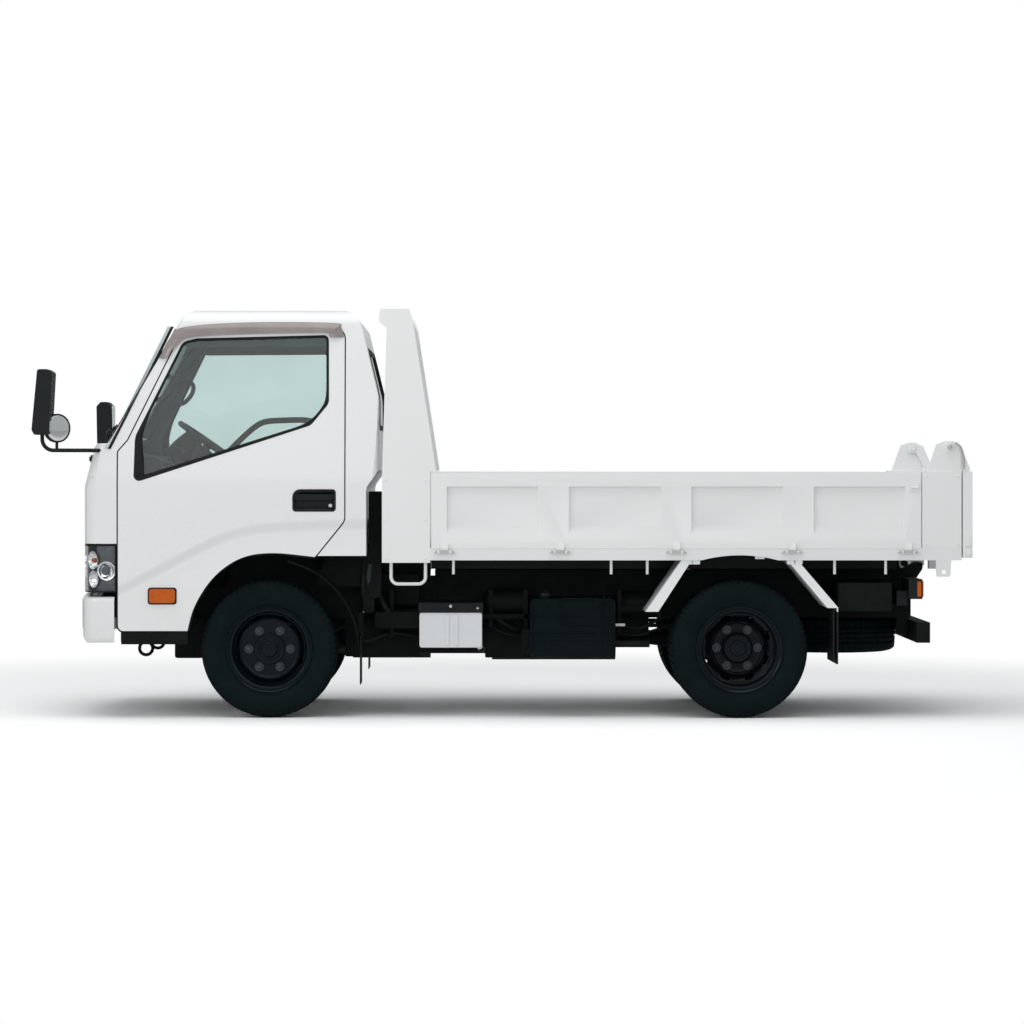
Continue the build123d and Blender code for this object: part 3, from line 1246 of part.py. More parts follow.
# ---- hoist ----
def hoist_turned(shape):
    foot_x, foot_z = HOIST_FOOT
    eye_x, eye_z = HOIST_EYE
    angle = math.degrees(math.atan2(eye_z - foot_z, eye_x - foot_x))
    return Pos(foot_x, 0, foot_z) * Rot(0, -angle, 0) * shape


def hoist_barrel():
    shape = rod_x(0, 0, BARREL_R, 95, BARREL_LEN)
    shape += box(-34, 96, -34, 34, -34, 34) - rod_y(0, 0, HOIST_PIN_R + RUN_FIT, -40, 40)
    shape -= rod_x(0, 0, ROD_R + RUN_FIT, 130, BARREL_LEN + 1)
    return hoist_turned(shape)


def hoist_rod():
    foot_x, foot_z = HOIST_FOOT
    eye_x, eye_z = HOIST_EYE
    length = math.hypot(eye_x - foot_x, eye_z - foot_z)
    shape = rod_x(0, 0, ROD_R, 134, length - 24)
    shape += rod_y(length, 0, 36, -30, 30)
    shape -= rod_y(length, 0, HOIST_PIN_R, -31, 31)
    return hoist_turned(shape)


save("hoist_barrel", hoist_barrel())
save("hoist_rod", hoist_rod())
print("origin shift", -ORIGIN_X)
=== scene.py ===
import json
import math
import bmesh
import bpy
import numpy as np
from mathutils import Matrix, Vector
from mathutils.bvhtree import BVHTree


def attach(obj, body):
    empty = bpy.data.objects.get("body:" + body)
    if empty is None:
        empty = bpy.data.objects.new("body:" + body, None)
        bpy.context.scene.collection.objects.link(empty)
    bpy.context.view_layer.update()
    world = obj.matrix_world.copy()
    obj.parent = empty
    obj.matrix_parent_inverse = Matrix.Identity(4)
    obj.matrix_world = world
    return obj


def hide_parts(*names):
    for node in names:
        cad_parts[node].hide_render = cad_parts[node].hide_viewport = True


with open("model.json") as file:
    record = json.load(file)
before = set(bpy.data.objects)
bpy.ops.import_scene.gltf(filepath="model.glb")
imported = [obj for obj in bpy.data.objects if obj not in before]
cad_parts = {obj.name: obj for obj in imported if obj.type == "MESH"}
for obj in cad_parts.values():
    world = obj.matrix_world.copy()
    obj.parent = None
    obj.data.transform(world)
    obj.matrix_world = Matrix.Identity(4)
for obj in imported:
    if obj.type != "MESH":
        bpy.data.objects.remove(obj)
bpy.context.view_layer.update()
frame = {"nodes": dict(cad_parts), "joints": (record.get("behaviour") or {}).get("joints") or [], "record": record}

# Pieces are worked out in millimetres from the front axle, as the truck's makers measure it:
# -x towards the cab's front, -y the truck's left, z up from the road.
JOINTS = {joint["name"]: joint for joint in frame["joints"]}
AXLE_X = JOINTS["left_steer"]["pos_m"][0] * 1000.0
WHEEL_Z = JOINTS["front_left_spin"]["pos_m"][2] * 1000.0
WHEELBASE = JOINTS["rear_left_spin"]["pos_m"][0] * 1000.0 - AXLE_X
FRONT_TRACK_HALF = JOINTS["front_right_spin"]["pos_m"][1] * 1000.0
REAR_TRACK_HALF = JOINTS["rear_right_spin"]["pos_m"][1] * 1000.0
TWIN_HALF = 113.0
RIGHT_TURN = math.radians(30.0)
MIRRORED, MIRRORED_Z = (1.0, -1.0, 1.0), (1.0, 1.0, -1.0)
# smoothing angles in degrees, from cushions to shapes with flat sides
SOFT, CURVED, MIXED, FLAT, NODE, CRISP = 60.0, 50.0, 40.0, 35.0, 32.0, 30.0
BEVEL_FROM = math.radians(30.0)
# merging distances in metres and the angle within which a CAD node's faces count as one flat face
PIECE_MERGE, NODE_MERGE, NODE_DEGENERATE, NODE_FLAT = 1e-6, 2e-5, 1e-5, math.radians(0.6)
FACES_INWARDS = 0.25
BODY_OF = {node: body for body, members in frame["record"]["behaviour"]["bodies"].items() for node in members}


# ---- surfaces as arrays ----
def to_row(points):
    """Millimetres from the front axle to metres in the shared frame."""
    return (np.asarray(points, float).reshape(-1, 3) + (AXLE_X, 0.0, 0.0)) / 1000.0


def points_of(x, y, z):
    """Coordinates that broadcast together, as points in a last axis of three."""
    return np.stack(np.broadcast_arrays(x, y, z), axis=-1)


def grid_faces(rows, cols, wrap_rows=False, wrap_cols=False):
    """Quads of a rows x cols grid: each joins a point with its neighbours along both parameters."""
    r = np.arange(rows if wrap_rows else rows - 1)
    c = np.arange(cols if wrap_cols else cols - 1)
    r, c = np.meshgrid(r, c, indexing="ij")
    r1, c1 = (r + 1) % rows, (c + 1) % cols
    quads = np.stack([r * cols + c, r * cols + c1, r1 * cols + c1, r1 * cols + c], axis=-1)
    return quads.reshape(-1, 4).tolist()


def sheet_of(points, wrap_rows=False, wrap_cols=False):
    """A grid of points of shape (rows, cols, 3) as points and quads."""
    rows, cols = points.shape[:2]
    return points.reshape(-1, 3), grid_faces(rows, cols, wrap_rows, wrap_cols)


def capped(points):
    """A grid whose rows are closed sections, with its first and last rows filled."""
    count, cols = points.shape[0] * points.shape[1], points.shape[1]
    flat, faces = sheet_of(points, wrap_cols=True)
    return flat, faces + [list(range(cols)), list(range(count - cols, count))]


def turned(profile, steps=96, closed=False):
    """A profile of (radius, along) turned about the y axis: x = r cos a, z = r sin a, y = along."""
    profile = np.asarray(profile, float)
    angle = np.linspace(0, 2 * np.pi, steps, endpoint=False)[:, None]
    radius, along = profile[None, :, 0], profile[None, :, 1]
    return sheet_of(points_of(radius * np.cos(angle), along, radius * np.sin(angle)), True, closed)


def rounded(points, radii, steps=8):
    """A closed outline whose corners are arcs: each corner's arc touches its two sides at
    radius / tan(half the corner's angle) from the corner."""
    points = np.asarray(points, float)
    radii = np.broadcast_to(np.asarray(radii, float), (len(points),))
    out = []
    for index, radius in enumerate(radii):
        here = points[index]
        before, after = points[index - 1] - here, points[(index + 1) % len(points)] - here
        length_before, length_after = np.linalg.norm(before), np.linalg.norm(after)
        before, after = before / length_before, after / length_after
        half = math.acos(np.clip(before @ after, -1, 1)) / 2
        if radius <= 0 or half > 1.55:
            out.append(here[None])
            continue
        reach = min(radius / math.tan(half), 0.49 * min(length_before, length_after))
        radius = reach * math.tan(half)
        bisector = (before + after) / np.linalg.norm(before + after)
        centre = here + bisector * radius / math.sin(half)
        start, end = here + before * reach - centre, here + after * reach - centre
        turn = math.atan2(start[0] * end[1] - start[1] * end[0], start @ end)
        angle = np.linspace(0, turn, steps)[:, None]
        side = np.array([-start[1], start[0]])
        out.append(centre + start * np.cos(angle) + side * np.sin(angle))
    return np.concatenate(out)


def oblong(a0, a1, b0, b1, corner, steps=4):
    """A rectangle with rounded corners."""
    return rounded([(a0, b0), (a1, b0), (a1, b1), (a0, b1)], corner, steps)


def along_path(path, profile, normals=None, closed=False):
    """A profile of (side, out) carried along a path: side is across the path, out is along its normal."""
    path = np.asarray(path, float)
    profile = np.asarray(profile, float)
    if closed:
        tangent = np.roll(path, -1, axis=0) - np.roll(path, 1, axis=0)
        tangent /= np.linalg.norm(tangent, axis=1)[:, None]
    else:
        tangent = heading(path)
    if normals is None:
        normals = carried_normals(tangent)
    out = normals - (normals * tangent).sum(1)[:, None] * tangent
    out /= np.linalg.norm(out, axis=1)[:, None]
    side = np.cross(tangent, out)
    return path[:, None] + side[:, None] * profile[None, :, :1] + out[:, None] * profile[None, :, 1:2]


def heading(line):
    """The unit direction of a line at each of its points."""
    way = np.gradient(line, axis=0)
    return way / np.linalg.norm(way, axis=1)[:, None]


def carried_normals(tangent):
    """Normals that turn no more than the path does: each is the one before, made square to the next tangent."""
    start = np.array([0.0, 0.0, 1.0]) if abs(tangent[0][2]) < 0.9 else np.array([0.0, 1.0, 0.0])
    normals = []
    for direction in tangent:
        start = start - (start @ direction) * direction
        start = start / np.linalg.norm(start)
        normals.append(start)
    return np.array(normals)


def circle(radius, sides=14):
    angle = np.linspace(0, 2 * np.pi, sides, endpoint=False)
    return np.stack([radius * np.cos(angle), radius * np.sin(angle)], axis=-1)


def curve_through(points, steps=6):
    """A smooth line through the points: Catmull-Rom pieces, each a cubic of its parameter."""
    points = np.asarray(points, float)
    padded = np.vstack([2 * points[0] - points[1], points, 2 * points[-1] - points[-2]])
    t = np.linspace(0, 1, steps, endpoint=False)[:, None]
    pieces = []
    for index in range(len(points) - 1):
        p0, p1, p2, p3 = padded[index:index + 4]
        pieces.append(0.5 * (2 * p1 + (p2 - p0) * t + (2 * p0 - 5 * p1 + 4 * p2 - p3) * t ** 2
                             + (3 * p1 - p0 - 3 * p2 + p3) * t ** 3))
    return np.vstack(pieces + [points[-1:]])


def tube(path, radius, sides=14, closed=False):
    """A round section carried along a path, its ends filled unless the path is closed."""
    points = along_path(path, circle(radius, sides), closed=closed)
    return sheet_of(points, wrap_rows=True, wrap_cols=True) if closed else capped(points)


def bent(points, radius, sides=12, steps=6):
    """A tube along a smooth line through the points."""
    return tube(curve_through(points, steps), radius, sides)


def slab(outline, low, high, axis="y"):
    """An outline carried from low to high along an axis, closed by its two faces.
    The outline is in x, z for axis y, in x, y for axis z and in y, z for axis x."""
    outline = np.asarray(outline, float)
    slots = {"y": (0, 2, 1), "z": (0, 1, 2), "x": (1, 2, 0)}[axis]
    points = np.zeros((2, len(outline), 3))
    points[:, :, slots[0]] = outline[:, 0]
    points[:, :, slots[1]] = outline[:, 1]
    points[:, :, slots[2]] = np.array([[low], [high]])
    return capped(points)


def prism(points, radii, low, high, steps=4):
    """An outline in x, z with rounded corners, carried along y."""
    return slab(rounded(points, radii, steps), low, high)


def plate(a0, a1, b0, b1, corner, low, high, axis="y", steps=4):
    """A rounded rectangle carried from low to high along an axis."""
    return slab(oblong(a0, a1, b0, b1, corner, steps), low, high, axis)


def block(x0, x1, y0, y1, z0, z1, corner=0.0):
    return plate(x0, x1, z0, z1, corner, y0, y1, steps=5)


def peg(centre, radius, length, axis="y", sides=20, dome=0.0):
    """A round peg about its centre, along an axis, its far end domed by an ellipse."""
    steps = np.linspace(0, np.pi / 2, 5 if dome else 1)[::-1]
    end = [(radius * math.cos(a), -length / 2 - dome * math.sin(a)) for a in steps[::-1]]
    profile = [(0.01, length / 2), (radius, length / 2)] + end + ([] if dome else [(0.01, -length / 2)])
    points, faces = turned(profile, sides)
    order = {"y": [0, 1, 2], "x": [1, 0, 2], "z": [0, 2, 1]}[axis]
    return points[:, order] + np.asarray(centre, float), faces


def moved(part, by=0.0, flip=1.0):
    """A part moved by an offset, after y is multiplied by flip."""
    points, faces = part
    return points * (1.0, flip, 1.0) + by, faces


def both(*parts):
    """Parts, each followed by its mirror image across the truck's middle."""
    return [one for points, faces in parts for one in ((points, faces), (points * MIRRORED, faces))]


def piece(name, parts, materials, body, smooth=MIXED, bevel=0.0, segments=2, replaces=(), picks=None):
    """One object from a list of parts in millimetres; picks gives each part's material."""
    points, faces, chosen, offset = [], [], [], 0
    for index, (part_points, part_faces) in enumerate(parts):
        points.append(to_row(part_points))
        faces += [[i + offset for i in face] for face in part_faces]
        chosen += [picks[index] if picks else 0] * len(part_faces)
        offset += len(part_points)
    mesh = bpy.data.meshes.new(name)
    mesh.from_pydata(np.vstack(points).tolist(), [], faces)
    for material in materials:
        mesh.materials.append(material)
    mesh.polygons.foreach_set("material_index", np.array(chosen, np.int32))
    shape = bmesh.new()
    shape.from_mesh(mesh)
    bmesh.ops.remove_doubles(shape, verts=shape.verts, dist=PIECE_MERGE)
    bmesh.ops.recalc_face_normals(shape, faces=shape.faces)
    shape.to_mesh(mesh)
    shape.free()
    return finished(name, mesh, body, smooth, bevel, segments, replaces)


def finished(name, mesh, body, smooth, bevel, segments, replaces=()):
    """Shading, bevel and body of a new piece."""
    mesh.polygons.foreach_set("use_smooth", np.ones(len(mesh.polygons), bool))
    mesh.set_sharp_from_angle(angle=math.radians(smooth))
    thing = placed(name, mesh)
    if bevel:
        edge = thing.modifiers.new("edges", "BEVEL")
        edge.width = bevel / 1000.0
        edge.segments = segments
        edge.limit_method = "ANGLE"
        edge.angle_limit = BEVEL_FROM
        edge.harden_normals = True
    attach(thing, body)
    if replaces:
        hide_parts(*replaces)
    return thing


def placed(name, data):
    thing = bpy.data.objects.new(name, data)
    bpy.context.scene.collection.objects.link(thing)
    return thing


def dressed(node, material, bevel=3.0, segments=2, inside=None, middle=None):
    """A CAD node's own shape with merged points, flat faces made whole and edges rounded.
    With inside and middle, faces that look at the line through middle get the inside material."""
    mesh = frame["nodes"][node].data.copy()
    mesh.materials.clear()
    mesh.materials.append(material)
    shape = bmesh.new()
    shape.from_mesh(mesh)
    bmesh.ops.remove_doubles(shape, verts=shape.verts, dist=NODE_MERGE)
    bmesh.ops.dissolve_degenerate(shape, dist=NODE_DEGENERATE, edges=shape.edges)
    bmesh.ops.dissolve_limit(shape, angle_limit=NODE_FLAT, verts=shape.verts, edges=shape.edges)
    shape.to_mesh(mesh)
    shape.free()
    if inside is not None:
        mesh.materials.append(inside)
        centres, normals = np.zeros((2, len(mesh.polygons) * 3))
        mesh.polygons.foreach_get("center", centres)
        mesh.polygons.foreach_get("normal", normals)
        centres, normals = centres.reshape(-1, 3), normals.reshape(-1, 3)
        start, end = to_row([(x, 0, z) for x, z in middle])
        share = np.clip(((centres - start) @ (end - start)) / ((end - start) @ (end - start)), 0, 1)
        towards = start + share[:, None] * (end - start) - centres
        towards /= np.linalg.norm(towards, axis=1)[:, None]
        mesh.polygons.foreach_set("material_index", ((normals * towards).sum(1) > FACES_INWARDS).astype(np.int32))
    return finished(node + "_skin", mesh, BODY_OF[node], NODE, bevel, segments, (node,))


# ---- materials ----
# where the drift's ramp starts and ends, how much finer the gloss drifts, how strong the grain stands
RAMP_FROM, RAMP_TO, GLOSS_FINER, GRAIN_STRENGTH, COAT_ROUGH, LIGHTER = 0.35, 0.85, 2.7, 0.6, 0.08, 1.08
PATCH_SCALE, PATCH_DETAIL = 7.0, 8.0


def shader_of(made):
    return made.node_tree.nodes["Principled BSDF"]


def add(made, kind, inputs=(), **settings):
    """A shader node; inputs maps its sockets to values or to other nodes' outputs. Returns its first output."""
    tree = made.node_tree
    node = tree.nodes.new("ShaderNode" + kind)
    for key, value in settings.items():
        setattr(node, key, value)
    wire(made, node, inputs)
    return node.outputs[0]


def wire(made, node, inputs):
    for key, value in dict(inputs).items():
        if isinstance(value, bpy.types.NodeSocket):
            made.node_tree.links.new(value, node.inputs[key])
        else:
            node.inputs[key].default_value = value


def coordinates(made):
    return add(made, "TexCoord").node.outputs["Object"]


def surface(name, colour, other=None, scale=12.0, rough=(0.35, 0.5), bump=0.0, bump_scale=300.0, metallic=0.0,
            coat=0.0, specular=0.5, detail=6.0):
    """A finish whose colour drifts between two tones and whose gloss drifts with a second noise."""
    made = bpy.data.materials.new(name)
    made.use_nodes = True
    place = coordinates(made)
    drift = add(made, "TexNoise", {"Vector": place, "Scale": scale, "Detail": detail})
    tones = add(made, "ValToRGB", {"Fac": drift})
    ramp = tones.node.color_ramp.elements
    ramp[0].position, ramp[1].position = RAMP_FROM, RAMP_TO
    ramp[0].color = (*colour, 1.0)
    ramp[1].color = (*(other or [min(c * LIGHTER, 1.0) for c in colour]), 1.0)
    gloss = add(made, "TexNoise", {"Vector": place, "Scale": scale * GLOSS_FINER, "Detail": 4.0})
    span = add(made, "MapRange", {"Value": gloss, "To Min": rough[0], "To Max": rough[1]})
    wire(made, shader_of(made), {"Base Color": tones, "Roughness": span, "Metallic": metallic, "Coat Weight": coat,
                                 "Coat Roughness": COAT_ROUGH, "Specular IOR Level": specular})
    if bump:
        grain = add(made, "TexNoise", {"Vector": place, "Scale": bump_scale, "Detail": 3.0})
        raised = add(made, "Bump", {"Strength": GRAIN_STRENGTH, "Distance": bump / 1000.0, "Height": grain})
        wire(made, shader_of(made), {"Normal": raised})
    return made


def tinted(made, share, colour):
    """The finish's colour mixed by a share with another colour."""
    base = shader_of(made).inputs["Base Color"].links[0].from_socket
    mix = add(made, "MixRGB", {"Fac": share, "Color1": base, "Color2": (*colour, 1.0)})
    wire(made, shader_of(made), {"Base Color": mix})
    return made


def road_dust(made, low, high, most):
    """Dust over a finish's colour: most of it at height low, none at height high, broken up by noise."""
    place = coordinates(made)
    height = add(made, "SeparateXYZ", {"Vector": place}).node.outputs["Z"]
    fade = add(made, "MapRange", {"Value": height, "From Min": low, "From Max": high, "To Min": most, "To Max": 0.0})
    patches = add(made, "TexNoise", {"Vector": place, "Scale": PATCH_SCALE, "Detail": PATCH_DETAIL})
    return tinted(made, add(made, "Math", {0: fade, 1: patches}, operation="MULTIPLY"), DUST)


def black_where(made, tests):
    """The same finish, turning to black where every coordinate named is under its limit, in metres.
    A test is the axis, whether its absolute value counts, and the limit."""
    parts = add(made, "SeparateXYZ", {"Vector": coordinates(made)}).node
    share = None
    for axis, absolute, limit in tests:
        value = parts.outputs[axis]
        if absolute:
            value = add(made, "Math", {0: value}, operation="ABSOLUTE")
        under = add(made, "Math", {0: value, 1: limit}, operation="LESS_THAN")
        share = under if share is None else add(made, "Math", {0: share, 1: under}, operation="MULTIPLY")
    return tinted(made, share, BLACK_FILL)


# the pressed line of the doors and the cab's sides: x and z in millimetres
BODY_LINE = ((-830.0, 706.0), (-602.0, 825.0), (-397.0, 932.0), (-194.0, 1020.0), (-39.0, 1052.0), (165.0, 1068.0),
             (530.0, 1077.0))
LINE_DROP = 15.0
LINE_WIDTH = 70.0
LINE_FADE = (100.0, 460.0)


def pressed_line(made):
    """The panel steps in below the body line: the step is a smooth ramp of the height under the line, which
    is read from a curve of x, and it fades out again towards the sill."""
    apart = add(made, "SeparateXYZ", {"Vector": coordinates(made)}).node
    line = (np.array(BODY_LINE) + (AXLE_X, 0.0)) / 1000
    (x0, z0), (x1, z1) = line[0], line[-1]
    along = add(made, "MapRange", {"Value": apart.outputs["X"], "From Min": x0, "From Max": x1})
    curve = add(made, "FloatCurve", {"Value": along}).node
    bend = curve.mapping.curves[0].points
    for index, (x, z) in enumerate(line):
        share = (x - x0) / (x1 - x0), (z - z0) / (z1 - z0)
        if index in (0, len(line) - 1):
            bend[0 if index == 0 else -1].location = share
        else:
            bend.new(*share)
    curve.mapping.update()
    level = add(made, "MapRange", {"Value": curve.outputs[0], "To Min": z0, "To Max": z1})
    under = add(made, "Math", {0: level, 1: apart.outputs["Z"]}, operation="SUBTRACT")
    step, fade = (add(made, "MapRange", {"Value": under, "From Min": start / 1000, "From Max": end / 1000},
                      interpolation_type="SMOOTHSTEP") for start, end in ((0.0, LINE_WIDTH), LINE_FADE))
    height = add(made, "Math", {0: fade, 1: step}, operation="SUBTRACT")
    press = add(made, "Bump", {"Strength": 1.0, "Distance": LINE_DROP / 1000, "Height": height})
    wire(made, shader_of(made).inputs["Normal"].links[0].from_node, {"Normal": press})
    return made


def clear(name, colour):
    """Tinted see-through glass or plastic, its tint drifting a little."""
    made = surface(name, colour, scale=3.0, rough=(0.0, 0.02))
    wire(made, shader_of(made), {"Transmission Weight": 1.0, "IOR": 1.45})
    return made


DUST = (0.30, 0.28, 0.25)
# the black that black_where mixes in; on the bed frame it is painted shade under the bed
BLACK_FILL = (0.004, 0.006, 0.006)
BODY_PAINT = {"scale": 90.0, "rough": (0.26, 0.285), "bump": 0.02, "bump_scale": 180.0, "coat": 0.3, "detail": 0.5}
BED_PAINT = {"scale": 2.5, "rough": (0.34, 0.5), "bump": 0.05, "bump_scale": 120.0, "detail": 1.0}
GUARD_PAINT = {"scale": 6.0, "rough": (0.35, 0.5), "bump": 0.1, "bump_scale": 120.0}
TRIM = {"scale": 16.0, "bump": 0.3, "bump_scale": 900.0, "specular": 0.3}
cab_white = road_dust(surface("cab_white", (0.805, 0.815, 0.815), (0.815, 0.825, 0.825), **BODY_PAINT), 0.35, 0.8, 0.12)
side_white = surface("side_white", (0.812, 0.822, 0.822), (0.816, 0.826, 0.826), **BODY_PAINT)
side_white = pressed_line(road_dust(side_white, 0.35, 0.8, 0.06))
bed_white = surface("bed_white", (0.825, 0.835, 0.832), (0.835, 0.845, 0.842), coat=0.1, **BED_PAINT)
bed_white = road_dust(bed_white, 0.5, 1.0, 0.12)
guard_white = surface("guard_white", (0.80, 0.82, 0.82), (0.84, 0.85, 0.85), **GUARD_PAINT)
chassis_black = surface("chassis_black", (0.0035, 0.0048, 0.0048), (0.008, 0.010, 0.010), 9.0, (0.5, 0.75), 0.2, 90.0,
                        specular=0.12)
chassis_black = road_dust(chassis_black, 0.2, 0.8, 0.015)
gloss_black = surface("rim_black", (0.002, 0.0052, 0.0068), (0.004, 0.0080, 0.0098), 14.0, (0.16, 0.28), 0.03, 60.0,
                      coat=0.03, specular=0.14)
iron = surface("cast_grey", (0.006, 0.008, 0.008), (0.016, 0.018, 0.018), 20.0, (0.55, 0.8), 0.5, 70.0, specular=0.15)
tyre_rubber = surface("tyre_rubber", (0.0030, 0.0078, 0.0090), (0.0052, 0.0110, 0.0125), 11.0, (0.62, 0.82), 0.15,
                      240.0, specular=0.06)
tyre_rubber = road_dust(tyre_rubber, 0.0, 0.7, 0.012)
grained_black = surface("grained_black", (0.0035, 0.0068, 0.0074), (0.007, 0.0105, 0.0112), 30.0, (0.45, 0.6), 0.25,
                        700.0, specular=0.25)
trim_grey = surface("cab_trim", (0.044, 0.074, 0.075), (0.060, 0.094, 0.095), rough=(0.6, 0.8), **TRIM)
trim_dark = surface("cab_trim_dark", (0.022, 0.030, 0.031), (0.032, 0.040, 0.041), rough=(0.55, 0.75), **TRIM)
seal_black = surface("seal_black", (0.006, 0.009, 0.009), (0.010, 0.013, 0.013), 40.0, (0.5, 0.7), 0.05, 500.0,
                     specular=0.2)
tank_black = surface("tank_black", (0.0022, 0.0060, 0.0066), (0.0040, 0.0088, 0.0095), 8.0, (0.34, 0.5), 0.15, 150.0,
                     specular=0.05)
tank_black = road_dust(tank_black, 0.2, 0.8, 0.015)
cover_white = surface("cover_white", (0.69, 0.71, 0.73), (0.73, 0.75, 0.77), 9.0, (0.35, 0.55), 0.1, 160.0)
steel = surface("dull_steel", (0.030, 0.032, 0.032), (0.065, 0.066, 0.064), 15.0, (0.45, 0.7), 0.15, 120.0, 0.6,
                specular=0.3)
nut_dark = surface("nut_dark", (0.040, 0.048, 0.050), (0.075, 0.083, 0.085), 60.0, (0.22, 0.34), metallic=0.7)
zinc = surface("zinc_steel", (0.50, 0.50, 0.49), (0.62, 0.62, 0.60), 60.0, (0.25, 0.45), 0.05, metallic=1.0)
chrome = surface("chrome", (0.78, 0.78, 0.79), (0.83, 0.83, 0.84), 25.0, (0.04, 0.12), metallic=1.0)
mirror_face = surface("mirror_glass", (0.70, 0.73, 0.73), (0.75, 0.77, 0.77), 10.0, (0.02, 0.05), metallic=1.0)
seat_cloth = surface("seat_cloth", (0.040, 0.050, 0.052), (0.070, 0.080, 0.082), 200.0, (0.85, 0.95), 0.6, 1400.0)
amber = surface("amber_lens", (0.50, 0.088, 0.002), (0.60, 0.125, 0.004), 30.0, (0.2, 0.35), coat=0.08, specular=0.3)
red_lens = surface("red_lens", (0.36, 0.012, 0.008), (0.48, 0.025, 0.015), 30.0, (0.12, 0.25), coat=0.4)
white_lens = surface("white_lens", (0.62, 0.63, 0.63), (0.70, 0.71, 0.71), 30.0, (0.1, 0.2), coat=0.4)
edge_glass = surface("screen_edge_glass", (0.44, 0.53, 0.52), (0.48, 0.57, 0.56), 6.0, (0.06, 0.12), coat=0.6)
plate_blank = surface("blank_plate", (0.70, 0.71, 0.68), (0.76, 0.77, 0.74), 12.0, (0.3, 0.45), 0.05, 200.0)
window_glass = clear("window_glass", (0.665, 0.765, 0.75))
lens_clear = clear("lens_clear", (0.93, 0.95, 0.96))
visor_brown = surface("visor_brown", (0.235, 0.205, 0.198), (0.33, 0.29, 0.282), 5.0, (0.08, 0.16), coat=0.5)
lamp_case = surface("lamp_case", (0.10, 0.11, 0.115), (0.20, 0.21, 0.215), 18.0, (0.14, 0.26), metallic=0.75)
frame_white_painted_shade = surface("bed_frame_white", (0.80, 0.81, 0.808), (0.815, 0.825, 0.822), specular=0.25, **BED_PAINT)
# painted shade: the bed frame's white inner parts turn black where |y| < 0.79, x < 2.19 and z < 0.903, as the shade
# under the bed
frame_white_painted_shade = black_where(frame_white_painted_shade, (("Y", True, 0.79), ("X", False, 2.19), ("Z", False, 0.903)))
flap_white = surface("mudguard_white", (0.86, 0.875, 0.872), (0.88, 0.89, 0.888), specular=0.35, **GUARD_PAINT)
flap_white = black_where(flap_white, (("Z", False, 0.572),))

# ---- tyres ----
TYRE_R, TYRE_HALF = 369, 98
# across the tyre: share of the half width and radius, from the bead over the tread's middle
TYRE_SIDE = ((-0.74, 208), (-0.80, 214), (-0.84, 226), (-0.83, 240), (-0.90, 256), (-0.965, 272),
             (-0.995, 288), (-1, 300), (-0.995, 312), (-0.985, 318), (-0.99, 320), (-0.975, 326),
             (-0.945, 337), (-0.90, 348), (-0.86, 355), (-0.81, 361), (-0.74, 365))
TREAD_COLS, TREAD_STEPS, LUGS = 33, 384, 64
TREAD_HALF, TREAD_DEPTH, TREAD_CROWN = 0.70, 9, 3.5
RINGS, RING_HALF, RING_WAVE = (-40, -14, 14, 40), 4.4, 3
# shoulder slots and fine cuts: their share of a lug, the width and radius they start at, their depth
SLOT_SHARE, SLOT_WIDTH, SLOT_R, SLOT_DEPTH = 0.22, 50, 346, 6
CUT_FROM, CUT_TO, CUT_WIDTH, CUT_R, CUT_DEPTH = 0.45, 0.6, 70, 352, 1.3


def tyre_surface():
    """Radius over turn and width. The sides turn the outline above; across the tread four rings are cut where
    the width is under RING_HALF from a zigzag of the turn, shoulder slots where the turn falls in a slot's
    share of a lug, and fine cuts between them."""
    side = np.array(TYRE_SIDE)
    across = np.linspace(-TREAD_HALF, TREAD_HALF, TREAD_COLS)
    width = np.concatenate([side[:, 0], across, -side[::-1, 0]]) * TYRE_HALF
    crown = TYRE_R - TREAD_CROWN * (across / TREAD_HALF) ** 2
    radius = np.concatenate([side[:, 1], crown, side[::-1, 1]])
    turn = np.linspace(0, 2 * np.pi, TREAD_STEPS, endpoint=False)[:, None]
    phase = (turn * LUGS / (2 * np.pi)) % 1
    wave = RING_WAVE * np.where(phase < 0.5, phase * 4 - 1, 3 - phase * 4)
    depth = np.zeros((TREAD_STEPS, len(width)))
    for ring in RINGS:
        depth += TREAD_DEPTH * (np.abs(width[None] - ring - wave * np.sign(ring)) < RING_HALF)
    slot = (phase < SLOT_SHARE) & (np.abs(width[None]) > SLOT_WIDTH) & (radius[None] > SLOT_R)
    depth = np.minimum(depth + SLOT_DEPTH * slot, TREAD_DEPTH)
    cut = (phase > CUT_FROM) & (phase < CUT_TO) & (np.abs(width[None]) > CUT_WIDTH) & (radius[None] > CUT_R)
    depth += CUT_DEPTH * cut
    rows = radius[None] - depth
    return sheet_of(points_of(rows * np.cos(turn), width, rows * np.sin(turn)), wrap_rows=True, wrap_cols=True)


TYRE = tyre_surface()
for side, sign in (("left", -1), ("right", 1)):
    single = moved(TYRE, (0, sign * FRONT_TRACK_HALF, WHEEL_Z))
    piece(f"tyre_front_{side}_tread", [single], [tyre_rubber], f"front_{side}_wheel", CRISP,
          replaces=(f"tyre_front_{side}",))
    twins = [moved(TYRE, (WHEELBASE, sign * REAR_TRACK_HALF + offset, WHEEL_Z)) for offset in (-TWIN_HALF, TWIN_HALF)]
    piece(f"tyres_rear_{side}_tread", twins, [tyre_rubber], f"rear_{side}_wheels", CRISP,
          replaces=(f"tyres_rear_{side}",))

